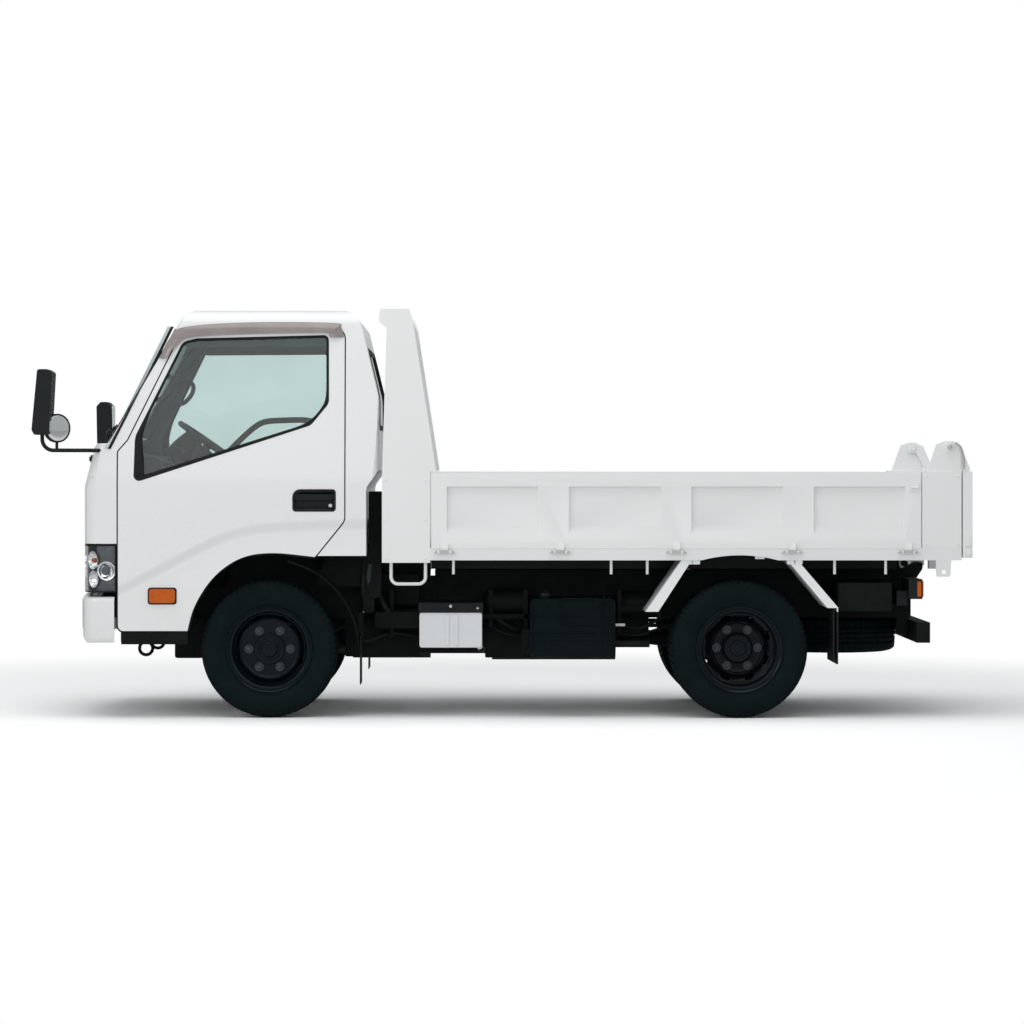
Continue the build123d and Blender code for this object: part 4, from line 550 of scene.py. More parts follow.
# ---- CAD nodes with their finishes: nodes, finish, bevel in millimetres, bevel's segments ----
CAB_MIDDLE = ((-450, 1250), (250, 1500))
FINISHES = (
    (("front_panel", "front_bumper"), cab_white, 4, 3),
    (("bed_frame",), frame_white_painted_shade, 3, 2),
    (("front_guard", "rear_posts", "bed_steps_and_hooks", "sideboard_left", "sideboard_right", "tailgate"), bed_white,
     3, 2),
    (("bed_mudguards",), flap_white, 2, 2),
    (("frame_rails", "leaf_springs", "rear_guard_bar", "front_fender_liners", "cab_steps", "air_intake", "tool_box"),
     chassis_black, 2.5, 2),
    (("knuckle_left", "knuckle_right", "front_axle_beam", "rear_axle_housing", "engine_block",
      "gearbox_and_propshaft"), iron, 5, 2),
    (("fuel_tank",), tank_black, 6, 3),
    (("battery_box",), cover_white, 5, 3),
    (("battery_lid",), grained_black, 4, 2),
    (("silencer",), steel, 4, 2),
    (("rear_lamps",), grained_black, 4, 2),
    (("dashboard",), trim_dark, 8, 3),
    (("steering_wheel",), grained_black, 2, 2),
    (("mirror_left", "mirror_right"), grained_black, 8, 4),
    (("door_handle_left", "door_handle_right"), grained_black, 3, 2),
    (("side_lamp_left", "side_lamp_right"), amber, 3, 2),
    (("windscreen", "rear_window", "door_glass_left", "door_glass_right"), window_glass, 0, 2),
    (("hoist_barrel",), chassis_black, 3, 2),
    (("hoist_rod",), chrome, 1, 2),
)
for node in ("door_left", "door_right", "cab_shell"):
    dressed(node, side_white, 4, 3, inside=trim_grey, middle=CAB_MIDDLE)
for nodes, finish, bevel, segments in FINISHES:
    for node in nodes:
        dressed(node, finish, bevel, segments)

# ---- where the cab's skin lies ----
# the cab's half width over height, the rear wall's x over height, the windscreen's and the front panel's lines
SECTION = rounded([(842, 300), (847.5, 1000), (847.5, 1290), (762, 2190), (0, 2204),
                   (-762, 2190)], [0, 900, 500, 105, 0, 0], 14)
SECTION = SECTION[SECTION[:, 0] > 300]
REAR_LINE = rounded([(522, 300), (522, 1238), (587, 1330), (587, 1728), (492, 2120),
                     (440, 2190), (0, 2204)], [0, 60, 60, 300, 60, 90, 0], 10)
SCREEN_LOW, SCREEN_HIGH = np.array([-926, 1475]), np.array([-545, 2110])
SCREEN_BULGE, FRONT_BULGE, BULGE_HALF = 62, 78, 859.5
FRONT_TURN_X, FRONT_TURN_Z, FRONT_LEAN = -1050, 1240, 46 / 185


def side_y(z):
    """Half width of the cab at a height, read from its cross section."""
    order = np.argsort(SECTION[:, 1])
    return np.interp(z, SECTION[order, 1], SECTION[order, 0])


def on_side(xz, out=0):
    """Points of the left side's skin, pushed out by a distance along y."""
    xz = np.asarray(xz, float)
    return points_of(xz[:, 0], -side_y(xz[:, 1]) - out, xz[:, 1])


def on_screen(yz, out=0):
    """Points of the windscreen's surface: a leaning line plus a bulge that grows with y squared."""
    yz = np.asarray(yz, float)
    along = unit(SCREEN_HIGH - SCREEN_LOW)
    bulge = SCREEN_BULGE * (yz[:, 0] / BULGE_HALF) ** 2 - out
    t = (yz[:, 1] - SCREEN_LOW[1] + along[0] * bulge) / along[1]
    return points_of(SCREEN_LOW[0] + along[0] * t + along[1] * bulge, yz[:, 0], yz[:, 1])


def on_front(yz, out=0):
    """Points of the front panel: two leaning lines plus a bulge that grows with y squared."""
    yz = np.asarray(yz, float)
    line = np.maximum(np.interp(yz[:, 1], [300, FRONT_TURN_Z], [-1046, FRONT_TURN_X]),
                      FRONT_TURN_X + (yz[:, 1] - FRONT_TURN_Z) * FRONT_LEAN)
    return points_of(line + FRONT_BULGE * (yz[:, 0] / BULGE_HALF) ** 2 - out, yz[:, 0], yz[:, 1])


def on_rear(yz, out=0):
    """Points of the rear wall's skin, pushed back by a distance along x."""
    yz = np.asarray(yz, float)
    order = np.argsort(REAR_LINE[:, 1])
    x = np.interp(yz[:, 1], REAR_LINE[order, 1], REAR_LINE[order, 0])
    return points_of(x + out, yz[:, 0], yz[:, 1])


def unit(vector):
    return np.asarray(vector, float) / np.linalg.norm(vector)


def square_to(way):
    """Flat directions turned a quarter to the left."""
    return np.stack([-way[:, 1], way[:, 0]], axis=-1)


def in_xz(line, y):
    return points_of(line[:, 0], y, line[:, 1])


def in_yz(line, x):
    return points_of(x, line[:, 0], line[:, 1])


def shrunk(outline, width):
    """An outline moved inwards by a width along its own normals."""
    outline = np.asarray(outline, float)
    after = np.roll(outline, -1, axis=0)
    tangent = after - np.roll(outline, 1, axis=0)
    tangent /= np.maximum(np.linalg.norm(tangent, axis=1), 1e-9)[:, None]
    normal = square_to(tangent)
    if (after[:, 0] * outline[:, 1] - outline[:, 0] * after[:, 1]).sum() > 0:
        normal = -normal
    return outline + normal * np.broadcast_to(width, (len(outline),))[:, None]


def spread(outline, step=30):
    """More points along a closed outline's long straight stretches."""
    out = []
    for index in range(len(outline)):
        start, end = outline[index], outline[(index + 1) % len(outline)]
        count = max(int(np.linalg.norm(end - start) / step), 1)
        out.append(start + (end - start) * np.linspace(0, 1, count, endpoint=False)[:, None])
    return np.concatenate(out)


def seal(outline, width, place, levels):
    """A strip round an outline: across it the levels give (share of the width, distance out)."""
    inner = shrunk(outline, width)
    rows = [place(outline + (inner - outline) * share, level) for share, level in levels]
    return sheet_of(np.stack(rows, axis=1), wrap_rows=True, wrap_cols=True)


def ribbon(line, width, place, out, depth):
    """A flat strip along an open line on the skin."""
    line = np.asarray(line, float)
    normal = square_to(heading(line)) * width / 2
    rows = [place(line + normal, out - depth), place(line + normal, out), place(line - normal, out),
            place(line - normal, out - depth)]
    return capped(np.stack(rows, axis=1))


# ---- doors: seals, rain visors, belt strips, handle pans, side lamps ----
WINDOW = spread(rounded([(-725, 1262), (-718, 1510), (-465, 2022), (-390, 2040), (320, 2058),
                         (322, 1690), (225, 1572)], [30, 120, 60, 30, 30, 60, 60]))
SEAL_LEVELS = ((0, -9), (0, 1), (0.3, 2.6), (0.8, 2.2), (1, 0), (1, -7))
VISOR_TOP = curve_through([(-590, 1932), (-540, 2036), (-461, 2100), (-129, 2126), (336, 2124),
                           (386, 2098), (402, 2046)], 8)
VISOR_LOW = curve_through([(-552, 1930), (-501, 1997), (-421, 2045), (-129, 2064), (296, 2071),
                           (318, 2062), (328, 2046)], 8)
VISOR_FACE, VISOR_BACK, VISOR_RISE = 4, 1.6, 16
HANDLE_PAN = spread(oblong(127, 360, 1109, 1229, [18, 18, 18, 52], 7))
PAN_RIM = ((0, 2), (0.14, 2.6), (0.20, 1), (0.34, -16))
PAN_FLOOR, PAN_FLOOR_SHARE, PAN_WIDTH = -23, 0.42, 60
LAMP_EDGE = spread(oblong(-648, -493, 611, 702, 16, 6))
BEZEL_LEVELS = ((0, -1), (0, 2), (0.5, 6), (1, 5), (1, -1))
RIB_Y = -side_y(656) - 11.6
ARCH = ((-436, 469), (-405, 600), (-300, 765), (-150, 870), (20, 893), (248, 866))
ARCH_LIP_WIDTH = 30
DOOR_EDGE = spread(rounded([(-808, 469), *ARCH, (405, 1060), (405, 2098), (-470, 2072),
                            (-755, 1490), (-808, 1430)],
                           [30, 8, 60, 90, 110, 60, 20, 60, 60, 90, 60, 20]))
GAP_LEVELS = ((-0.15, -20), (-0.15, -12), (1, -12), (1, -20))


def window_seal():
    """Its width grows along the bottom and most at the front bottom corner, where a black quarter stands: a ramp
    of the height plus bell curves of the distance from the corners."""
    low = np.clip((1600 - WINDOW[:, 1]) / 300, 0, 1)
    front = np.exp(-((WINDOW[:, 0] + 722) / 40) ** 2) * np.clip((1830 - WINDOW[:, 1]) / 480, 0, 1)
    for x, z in ((322, 1690), (225, 1572)):
        low = low + 0.9 * np.exp(-((WINDOW[:, 0] - x) ** 2 + (WINDOW[:, 1] - z) ** 2) / 42 ** 2)
    return seal(WINDOW, 14 + 9 * low + 34 * front, on_side, SEAL_LEVELS)


def rain_visor():
    """A curved band over the window's top: out from the skin by a sine of the share across it."""
    share = np.linspace(0, 1, 6)
    rows = [on_side(VISOR_TOP + (VISOR_LOW - VISOR_TOP) * s, out + VISOR_RISE * math.sin(s * math.pi / 2))
            for out, shares in ((VISOR_FACE, share), (VISOR_BACK, share[::-1])) for s in shares]
    return capped(np.stack(rows, axis=1))


def handle_pan():
    """The moulded cup behind the handle: a rim on the skin that falls to a floor 23 mm in."""
    middle = HANDLE_PAN.mean(0)
    rows = [on_side(shrunk(HANDLE_PAN, PAN_WIDTH * share), out) for share, out in PAN_RIM]
    rows.append(on_side(middle + (HANDLE_PAN - middle) * PAN_FLOOR_SHARE, PAN_FLOOR))
    points, faces = sheet_of(np.stack(rows, axis=0)[::-1].copy(), wrap_cols=True)
    return points, faces + [list(range(len(HANDLE_PAN)))]


def arch_lip():
    """A smooth edge to the wheel arch: a strip whose lower side is the quadratic B-spline of the door's corners."""
    corners = np.array([ARCH[0], *ARCH, ARCH[-1]])
    low = np.array([0.5 * (1 - t) ** 2 * a + (0.5 + t - t * t) * b + 0.5 * t * t * c
                    for a, b, c in zip(corners[:-2], corners[1:-1], corners[2:])
                    for t in np.linspace(0, 1, 10, endpoint=False)])
    high = low + square_to(heading(low)) * ARCH_LIP_WIDTH
    rows = [on_side(low, -16), on_side(low, 0.4), on_side(high, 0.4), on_side(high, -16)]
    return capped(np.stack(rows, axis=1))


lamp_ribs = [tube([(x, RIB_Y, 628), (x, RIB_Y, 686)], 1.6, 8) for x in np.arange(-628, -508, 12)]
DOOR_PIECES = (
    ("window_seal", [window_seal()], seal_black, "black_plastic", CURVED),
    ("rain_visor", [rain_visor()], visor_brown, "window_glass", CURVED),
    ("handle_pan", [handle_pan()], grained_black, "black_plastic", CURVED),
    ("keyhole", [peg((331, -side_y(1141) + 3, 1141), 10, 14, dome=2)], zinc, "black_plastic", CRISP),
    ("lamp_bezel", [seal(LAMP_EDGE, 11, on_side, BEZEL_LEVELS)], grained_black, "black_plastic", MIXED),
    ("lamp_ribs", lamp_ribs, amber, "lamp_amber", MIXED),
    ("arch_lip", [arch_lip()], side_white, "white_paint", CURVED),
)
door_gap = seal(DOOR_EDGE, -9.5, on_side, GAP_LEVELS)
for side, flip in (("left", 1), ("right", -1)):
    for name, parts, finish, slot, smooth in DOOR_PIECES:
        piece(f"{name}_{side}", [moved(part, flip=flip) for part in parts], [finish], f"{side}_door", smooth)
    piece(f"door_gap_{side}", [moved(door_gap, flip=flip)], [seal_black], "cab", CURVED)

# a flat rail inside the driver's window that rises over the sill
RAIL = curve_through([(-372, 1386), (-300, 1462), (-196, 1560), (-120, 1606), (-10, 1616),
                      (120, 1617), (196, 1598), (226, 1566)], 8)
RAIL_Y = 748
sill_rail = capped(along_path(in_xz(RAIL, RAIL_Y), oblong(-9, 9, -17, 17, 7),
                              in_xz(square_to(heading(RAIL)), 0)))
piece("window_rail_right", [sill_rail], [trim_dark], "right_door", CURVED)

# ---- windscreen, rear window, wipers ----
SCREEN = spread(rounded([(-748, 1500), (748, 1500), (690, 2085), (-690, 2085)], 60))
REAR_GLASS = spread(rounded([(-560, 1560), (560, 1560), (540, 1985), (-540, 1985)], 60))
RUBBER_LEVELS = ((0, -3), (0, 2), (0.25, 5), (0.75, 4.5), (1, 1), (1, -8))
piece("windscreen_seal", [seal(shrunk(SCREEN, -14), 34, on_screen, RUBBER_LEVELS)], [seal_black], "cab",
      CURVED)
piece("rear_window_seal", [seal(shrunk(REAR_GLASS, -12), 28, on_rear, RUBBER_LEVELS)], [seal_black], "cab",
      CURVED)

shell_mesh = frame["nodes"]["cab_shell"].data
SHELL_TREE = BVHTree.FromPolygons([v.co for v in shell_mesh.vertices], [p.vertices for p in shell_mesh.polygons])
PILLAR_LOW, PILLAR_HIGH, PILLAR_STEPS = np.array([-857, 1446]), np.array([-530, 2106]), 30
RAY_FROM_Y, RAY_LENGTH, LEAST_SKIN = -1100, 0.4, 700


def cab_skin(x, z):
    """How far out the cab's own left side stands at x and z, by a ray from the left."""
    hit = SHELL_TREE.ray_cast(Vector(to_row([(x, RAY_FROM_Y, z)])[0]), Vector((0, 1, 0)), RAY_LENGTH)[0]
    return -hit[1] * 1000 if hit is not None else 0


def pillar_strip(x_steps, outs):
    """A strip up the pillar's line: columns at steps of x from the line, standing off the skin."""
    rows = []
    for share in np.linspace(0, 1, PILLAR_STEPS):
        x, z = PILLAR_LOW + (PILLAR_HIGH - PILLAR_LOW) * share
        rows.append([(x + dx, -max(cab_skin(x + dx, z), LEAST_SKIN) - out, z) for dx, out in zip(x_steps, outs)])
    return capped(np.array(rows))


rubber = pillar_strip([-6, -6, 0, 8, 10, 10], [-6, 3, 6, 5, 2, -6])
border = pillar_strip([-7, -7, -15, -24, -24, -15], [-3, 2, 2.5, 2.5, -3, -3])
piece("pillar_rubbers", both(rubber), [seal_black], "cab", CURVED)
piece("pillar_glass_edges", both(border), [edge_glass], "cab", CURVED)
WIPER_FOOT_Z = 1492
ARM_RISE = np.array([-16, 0, 12])


def wiper(foot_y, tip_y, tip_z):
    """A spindle, an arm that rises off the glass by a sine along it, and a blade that lies on the glass."""
    foot = on_screen([(foot_y, WIPER_FOOT_Z)], 8)[0]
    tip = on_screen([(tip_y, tip_z)], 22)[0]
    reach = [foot + (tip - foot) * s + ARM_RISE * math.sin(s * math.pi) for s in np.linspace(0, 1, 9)]
    blade = np.linspace((tip_y - 0.32 * (tip_y - foot_y), tip_z - 0.30 * (tip_z - WIPER_FOOT_Z)),
                        (tip_y + 0.30 * (tip_y - foot_y), tip_z + 0.30 * (tip_z - WIPER_FOOT_Z)), 14)
    return [tube(reach, 5.5, 10), tube(on_screen(blade, 7), 4, 8), tube(on_screen(blade[3:11], 15), 4.5, 8),
            peg(foot + (6, 0, -4), 15, 26, axis="x", dome=6)]


wipers = wiper(420, -60, 1560) + wiper(-230, -560, 1556)
piece("wipers", wipers, [seal_black], "cab", CURVED)

# ---- front: grille, lamps, cowl ----
cowl_line = [(y, 1462) for y in np.linspace(-700, 700, 40)]
piece("cowl_louvre", [ribbon(cowl_line, 34, on_screen, 6, 14)], [grained_black], "cab")
# a dark board behind the grille's slots, and thin upright bars before it
grille = [block(-1012, -1008, -460, 460, 846, 1030)]
grille += [plate(-1026, -1012, 850, 1026, 2, y - 2.5, y + 2.5, steps=3)
           for y in np.linspace(-420, 420, 29)]
piece("grille_mesh", grille, [grained_black], "cab")
LAMP_LOW, LAMP_HIGH, LAMP_REAR_X, LAMP_CORNER = 677, 929, -818, 100
LENS_OUT, LENS_IN, CASE_OUT, CASE_IN = 1.5, 5.5, 58, 64
# where the plan line is read from the front, which of those points the corner starts at, the least step kept
LAMP_Y, CORNER_FROM, LEAST_STEP = np.linspace(563, 847, 14), 8, 2
REFLECTOR_START, REFLECTOR_RIM, REFLECTOR_BACK = 0.06, 5, 8


def lamp_plan(z, inset):
    """The headlamp's plan line at a height: the front's bulge, a round corner, then the cab's side."""
    front = on_front([(y, z) for y in LAMP_Y])[:, :2]
    half = float(side_y(z))
    bend = rounded([front[CORNER_FROM], (front[-1, 0], half), (LAMP_REAR_X, half)], [0, LAMP_CORNER, 0], 12)
    line = np.vstack([front[front[:, 1] < half - LAMP_CORNER - 1], bend])
    line = line[np.concatenate([[True], np.linalg.norm(np.diff(line, axis=0), axis=1) > LEAST_STEP])]
    return line - square_to(heading(line)) * inset


def lamp_sheet(low, high, inset, start=0, end=1, count=30):
    """Rows over height, columns along the plan line's length between two shares of it."""
    rows = []
    for z in np.linspace(low, high, 7):
        line = lamp_plan(z, inset)
        length = np.concatenate([[0], np.cumsum(np.linalg.norm(np.diff(line, axis=0), axis=1))])
        at = np.linspace(start, end, count) * length[-1]
        rows.append(points_of(np.interp(at, length, line[:, 0]), -np.interp(at, length, line[:, 1]), z))
    return np.stack(rows, axis=0)


def lamp_shell(low, high, outer, inner, **span):
    """A closed shell between two sheets of the same grid."""
    outer, inner = lamp_sheet(low, high, outer, **span), lamp_sheet(low, high, inner, **span)
    rows, cols = outer.shape[:2]
    size = rows * cols
    faces = grid_faces(rows, cols) + [[i + size for i in face][::-1] for face in grid_faces(rows, cols)]
    rim = list(range(cols)) + [r * cols + cols - 1 for r in range(1, rows)] \
        + [(rows - 1) * cols + c for c in range(cols - 2, -1, -1)] + [r * cols for r in range(rows - 2, 0, -1)]
    faces += [[a, b, b + size, a + size] for a, b in zip(rim, rim[1:] + rim[:1])]
    return np.concatenate([outer.reshape(-1, 3), inner.reshape(-1, 3)]), faces


def bowl(centre, radius, depth, facing, sides=36):
    """A reflector: a paraboloid of the radius, opening along facing, with a turned-back rim."""
    centre, facing = np.asarray(centre), unit(facing)
    across = unit(np.cross(facing, (0, 0, 1)))
    up = np.cross(across, facing)
    a = np.linspace(0, 2 * np.pi, sides, endpoint=False)[:, None]
    ring = across[None] * np.cos(a) + up[None] * np.sin(a)
    rows = [centre + ring * radius * s + facing * depth * (s * s - 1)
            for s in np.linspace(REFLECTOR_START, 1, 10)]
    rim = centre + ring * (radius + REFLECTOR_RIM)
    rows += [rim, rim - facing * REFLECTOR_BACK]
    return sheet_of(np.stack(rows, axis=0), wrap_cols=True)


def bulb(centre, facing, radius, length):
    path = [np.asarray(centre) + unit(facing) * length * s for s in np.linspace(0, 1, 5)]
    return tube(path, radius)


CORNER_WAY = (-0.75, -0.66, 0)
headlamp_rims = [lamp_shell(low, high, 1, CASE_OUT)
                 for low, high in ((LAMP_LOW - 1, LAMP_LOW + 6), (LAMP_HIGH - 6, LAMP_HIGH + 1))]
headlamp_rims += [lamp_shell(LAMP_LOW, LAMP_HIGH, 1, CASE_OUT, start=start, end=end, count=3)
                  for start, end in ((0, 0.018), (0.982, 1))]
bowls = [bowl((-998, -662, 803), 74, 46, (-1, -0.05, 0)),
         bowl((-950, -786, 846), 44, 34, CORNER_WAY),
         bowl((-874, -806, 790), 46, 26, (-0.15, -1, 0)),
         bowl((-946, -782, 745), 42, 30, CORNER_WAY)]
piece("headlamp_lenses", both(lamp_shell(LAMP_LOW + 5, LAMP_HIGH - 5, LENS_OUT, LENS_IN)), [lens_clear], "cab",
      replaces=("headlamps",))
piece("headlamp_rims", both(*headlamp_rims), [grained_black], "cab")
piece("headlamp_cases", both(lamp_shell(LAMP_LOW - 1, LAMP_HIGH + 1, CASE_OUT, CASE_IN)), [lamp_case], "cab")
piece("headlamp_reflectors", both(*bowls), [chrome], "cab", CURVED)
piece("turn_bulbs", both(bulb((-928, -768, 846), CORNER_WAY, 13, 26)), [amber], "cab", CURVED)
piece("main_bulbs", both(bulb((-960, -660, 803), (-1, 0, 0), 12, 36)), [white_lens], "cab",
      CURVED)

# ---- bumper fittings ----
front_plate = [block(-1070, -1060.5, -172, 172, 448, 622, 6),
               block(-1073, -1069, -165, 165, 455, 615, 5)]
piece("front_plate", front_plate, [grained_black, plate_blank], "chassis", FLAT, 1, picks=[0, 1])

# ---- seats: crowned cushions with seams ----
SQUARENESS, SEAM_DEPTH, SEAM_ALONG, SEAM_ACROSS = 0.26, 5, 0.04, 0.035
SEAT_TILT, BACK_LEAN, SEAT_TOP, BACK_TALL, BACK_SWELL = -0.065, 0.19, 1150, 550, 14
# y limits, the headrest's y and the seams as shares of the half width
SEATS = {"driver": (180, 660, 420, (-0.62, 0.62)), "passenger": (-680, 120, -420, (-0.75, -0.1, 0.1))}


def cushion(low, high, lean=(0, 0), crown=16, seams=(), across=(), rows=56, cols=72):
    """A stuffed block: a superellipsoid of two angles, its faces crowned by the product of two cosines,
    grooved where the share along it or across it meets a seam, and sheared by the lean."""
    low, high = np.asarray(low, float), np.asarray(high, float)
    middle, half = (low + high) / 2, (high - low) / 2
    v, u = np.meshgrid(np.linspace(-np.pi / 2, np.pi / 2, rows), np.linspace(-np.pi, np.pi, cols, endpoint=False),
                       indexing="ij")
    cos_v, cos_u, sin_u, sin_v = (np.sign(wave) * np.abs(wave) ** SQUARENESS
                                  for wave in (np.cos(v), np.cos(u), np.sin(u), np.sin(v)))
    shape = points_of(cos_v * cos_u, cos_v * sin_u, sin_v)
    swell = np.cos(np.clip(shape[..., 0], -1, 1) * np.pi / 2) * np.cos(np.clip(shape[..., 1], -1, 1) * np.pi / 2)
    groove = sum((np.exp(-((shape[..., 1] - at) / SEAM_ACROSS) ** 2) for at in across), np.zeros_like(swell))
    groove = groove + sum((np.exp(-((shape[..., 0] - at) / SEAM_ALONG) ** 2) for at in seams), np.zeros_like(swell))
    thick = half[2] + crown * np.clip(swell, 0, 1) - SEAM_DEPTH * np.clip(groove, 0, 1)
    points = middle + shape * points_of(half[0], half[1], thick)
    points[..., 0] += lean[0] * (points[..., 2] - low[2])
    points[..., 2] += lean[1] * (points[..., 0] - low[0])
    return sheet_of(points, wrap_cols=True)


def piping(x0, x1, y0, y1, z, lean, radius=4):
    """The welt round a cushion's edge: a rounded rectangle of cord that leans with it."""
    outline = spread(oblong(x0, x1, y0, y1, 46, 8), 40)
    return tube(np.column_stack([outline, z + lean * (outline[:, 0] - x0)]), radius, 8, closed=True)


def seat_back(y0, y1, splits):
    """A flat cushion whose front swells by a sine of its height times a cosine of its width."""
    points, faces = cushion((196, y0 + 4, SEAT_TOP), (312, y1 - 4, 1700), (BACK_LEAN, 0), 0, (), splits)
    height, across = points[:, 2] - SEAT_TOP, (points[:, 1] - (y0 + y1) / 2) / (y1 - y0)
    swell = np.sin(np.clip(height / BACK_TALL, 0, 1) * np.pi) * np.cos(across * np.pi)
    points[:, 0] += np.where(points[:, 0] < 254 + BACK_LEAN * height, -BACK_SWELL * swell, 0)
    return points, faces


for name, (y0, y1, head_y, splits) in SEATS.items():
    seat = cushion((-158, y0, 986), (298, y1, SEAT_TOP), (0, SEAT_TILT), 22, (-0.45, 0.3), splits)
    pad = cushion((322, head_y - 128, 1742), (398, head_y + 128, 1908), (0.13, 0), 5)
    for kind, part, fill in (("cushion", seat, 0.8), ("back", seat_back(y0, y1, splits), 0.8), ("headrest", pad, 0.85)):
        made = piece(f"{name}_seat_{kind}", [part], [seat_cloth], "cab", SOFT,
                     replaces=("seats",) if name == "driver" and kind == "cushion" else ())
    welt = piping(-150, 290, y0 + 8, y1 - 8, 1170, SEAT_TILT)
    piece(f"{name}_seat_welt", [welt], [trim_dark], "cab", SOFT)
    posts = [tube([(372, head_y + side, 1690), (378, head_y + side, 1790)], 6.5, 10) for side in (-60, 60)]
    piece(f"{name}_headrest_posts", posts, [zinc], "cab")
seat_boxes = [block(-118, 278, y0, y1, 936, 992, 8) for y0, y1 in ((202, 638), (-658, 98))]
piece("seat_boxes", seat_boxes, [trim_dark], "cab", FLAT, 3)

# ---- dashboard fittings ----
hood = curve_through([(-690, 1398), (-664, 1446), (-610, 1462), (-566, 1450), (-548, 1424)])
hood = slab(np.vstack([hood, hood[::-1] - (0, 9)]), 250, 560)
piece("gauge_hood", [hood], [trim_dark], "cab", MIXED, 2)
VENT = np.array([(-570, 1296), (-552, 1298), (-556, 1316), (-574, 1314)])
VENT_STEP = np.array([-4, 26])
dash_panel = [prism([(-586, 1300), (-566, 1306), (-584, 1400), (-606, 1394)], 4, -110, 110)]
dash_panel += [prism(VENT + k * VENT_STEP, 3, y - 62, y + 62, 3) for k in range(3) for y in (-330, -600)]
piece("dash_panel", dash_panel, [seal_black], "cab", FLAT)
gear_lever = [bent([(-470, 60, 1120), (-456, 60, 1240), (-436, 60, 1330)], 9),
              peg((-432, 60, 1348), 26, 40, axis="z", dome=14)]
piece("gear_lever", gear_lever, [trim_dark], "cab", CURVED)
STALK = ((-446, 30, 1450), (-452, 120, 1468), (-446, 176, 1482))
shroud = [bent([(x, 400 + s * y, z) for x, y, z in STALK], 7, 10, 5) for s in (-1, 1)]
shroud.append(tube([(-500, 400, 1352), (-430, 400, 1452)], 44, 20))
piece("steering_shroud", shroud, [trim_dark], "cab", CURVED)
# a bent bar on each windscreen pillar
grab_line = curve_through([(-566, -726, 1838), (-516, -704, 1842), (-484, -700, 1816),
                           (-494, -700, 1764), (-540, -704, 1716), (-590, -728, 1712)])
grab_line -= (44, 0, 0)
piece("grab_handles", [tube(grab_line * flip, 13, 12) for flip in ((1, 1, 1), MIRRORED)], [trim_dark], "cab",
      CURVED)
visors = [prism([(-520, 2040), (-420, 2068), (-424, 2084), (-526, 2056)], 6, y - 230, y + 230) for y in (-400, 400)]
piece("sun_visors", visors, [trim_grey], "cab", MIXED, 2)
header = prism([(-470, 1992), (330, 1996), (330, 2060), (-440, 2050)], 14, 700, 716, 5)
piece("roof_headers", both(header), [trim_grey], "cab", MIXED, 2)


def belt(sign):
    """A seat belt's web from the pillar's top to its reel, a flat strip along a line."""
    line = curve_through([(430, -742 * sign, 1850), (424, -748 * sign, 1500),
                          (420, -742 * sign, 1120)], 8)
    normals = np.tile([0, -1, 0], (len(line), 1))
    return capped(along_path(line, oblong(-23, 23, -1, 1, 0.8, 3), normals))


piece("seat_belts", [belt(1), belt(-1)], [seal_black], "cab")
# the moulded card inside a door: an arm rest and a pocket
arm_rest = prism([(-300, 1150), (240, 1180), (240, 1236), (-300, 1206)], 20, -784, -722, 6)
pocket = plate(-640, -420, 620, 760, 20, -786, -752, steps=6)
for side, flip in (("left", 1), ("right", -1)):
    card = [moved(part, flip=flip) for part in (arm_rest, pocket)]
    piece(f"door_card_{side}", card, [trim_dark], f"{side}_door", MIXED, 4)
pod_line = rounded([(-655, 1262), (-655, 1470), (-600, 1520), (-545, 1560), (-505, 1540),
                    (-470, 1460), (-410, 1370), (-400, 1300)],
                   [20, 30, 30, 20, 20, 30, 20, 20], 6)
pod = [slab(pod_line, 600, 668), tube([(-560, 672, 1330), (-560, 672, 1500)], 9, 12),
       bent([(-630, 672, 1400), (-600, 674, 1462), (-540, 674, 1500)], 6, 10)]
piece("dash_end_pod", pod, [trim_dark], "cab", MIXED, 6)

# ---- wheel rims: turned barrels, pierced discs, hubs and nuts ----
STUD_CIRCLE, STUDS, EDGE_ROLL = 111.125, 6, 2.6
HAND_HOLES, HOLE_STEPS, HOLE_ROUNDNESS, HOLE_LIP = 8, 48, 0.8, 7
FRONT_FACE, REAR_FACE = -52, -9
# profiles of (radius, along the axle): the tyre well's inner flank is shared
INNER_FLANK = [(231.5, -79), (224, -75), (209, -70), (205, -60), (205, 60), (209, 70),
               (224, 75), (231.5, 79), (233, 84), (228, 88), (203, 74), (197, 60)]
FRONT_BARREL = [(196, -40), (197, -66), (203, -74), (214, -77), (222, -79), (228, -84),
                (232, -88), (233, -84), *INNER_FLANK, (196, 20)]
FRONT_DISC = [(60, -52), (140, -52), (150, -53), (158, -56), (163, -54), (168, -47),
              (176, -38), (186, -33), (196, -32)]
FRONT_CENTRE = [(58, -42), (60, -52), (100, -52), (140, -52), (150, -53), (158, -56)]
FRONT_HUB = [(58, -50), (82, -54), (82, -66), (79, -70), (60, -71), (57, -74), (46, -75),
             (44, -88), (40, -92), (20, -94), (0.01, -94)]
REAR_BARREL = np.array([(196, -9), (196, -60), (197, -66), (203, -74), (214, -77), (228, -84),
                        (232, -88), (233, -84), *INNER_FLANK, (196, -9)])
REAR_DISC = [(137, -14), (146, -17), (152, -22), (164, -36), (178, -46), (196, -52)]
REAR_CENTRE = [(56, -9), (120, -9), (131, -10.5), (137, -14)]
REAR_HUB = [(56, -12), (82, -14), (82, -66), (78, -71), (75, -72), (75, -82), (72, -85),
            (44, -86), (40, -90), (20, -91), (0.01, -91)]
DRUM = [(0.01, -34), (150, -34), (158, -28), (158, 6), (150, 12), (0.01, 12)]
HUB_BOLTS, HUB_BOLT_CIRCLE = 12, 62
NUT_R, NUT_TALL, NUT_CROWN, NUT_CROWN_SHARE = 18.6, 22, 3.5, 0.86
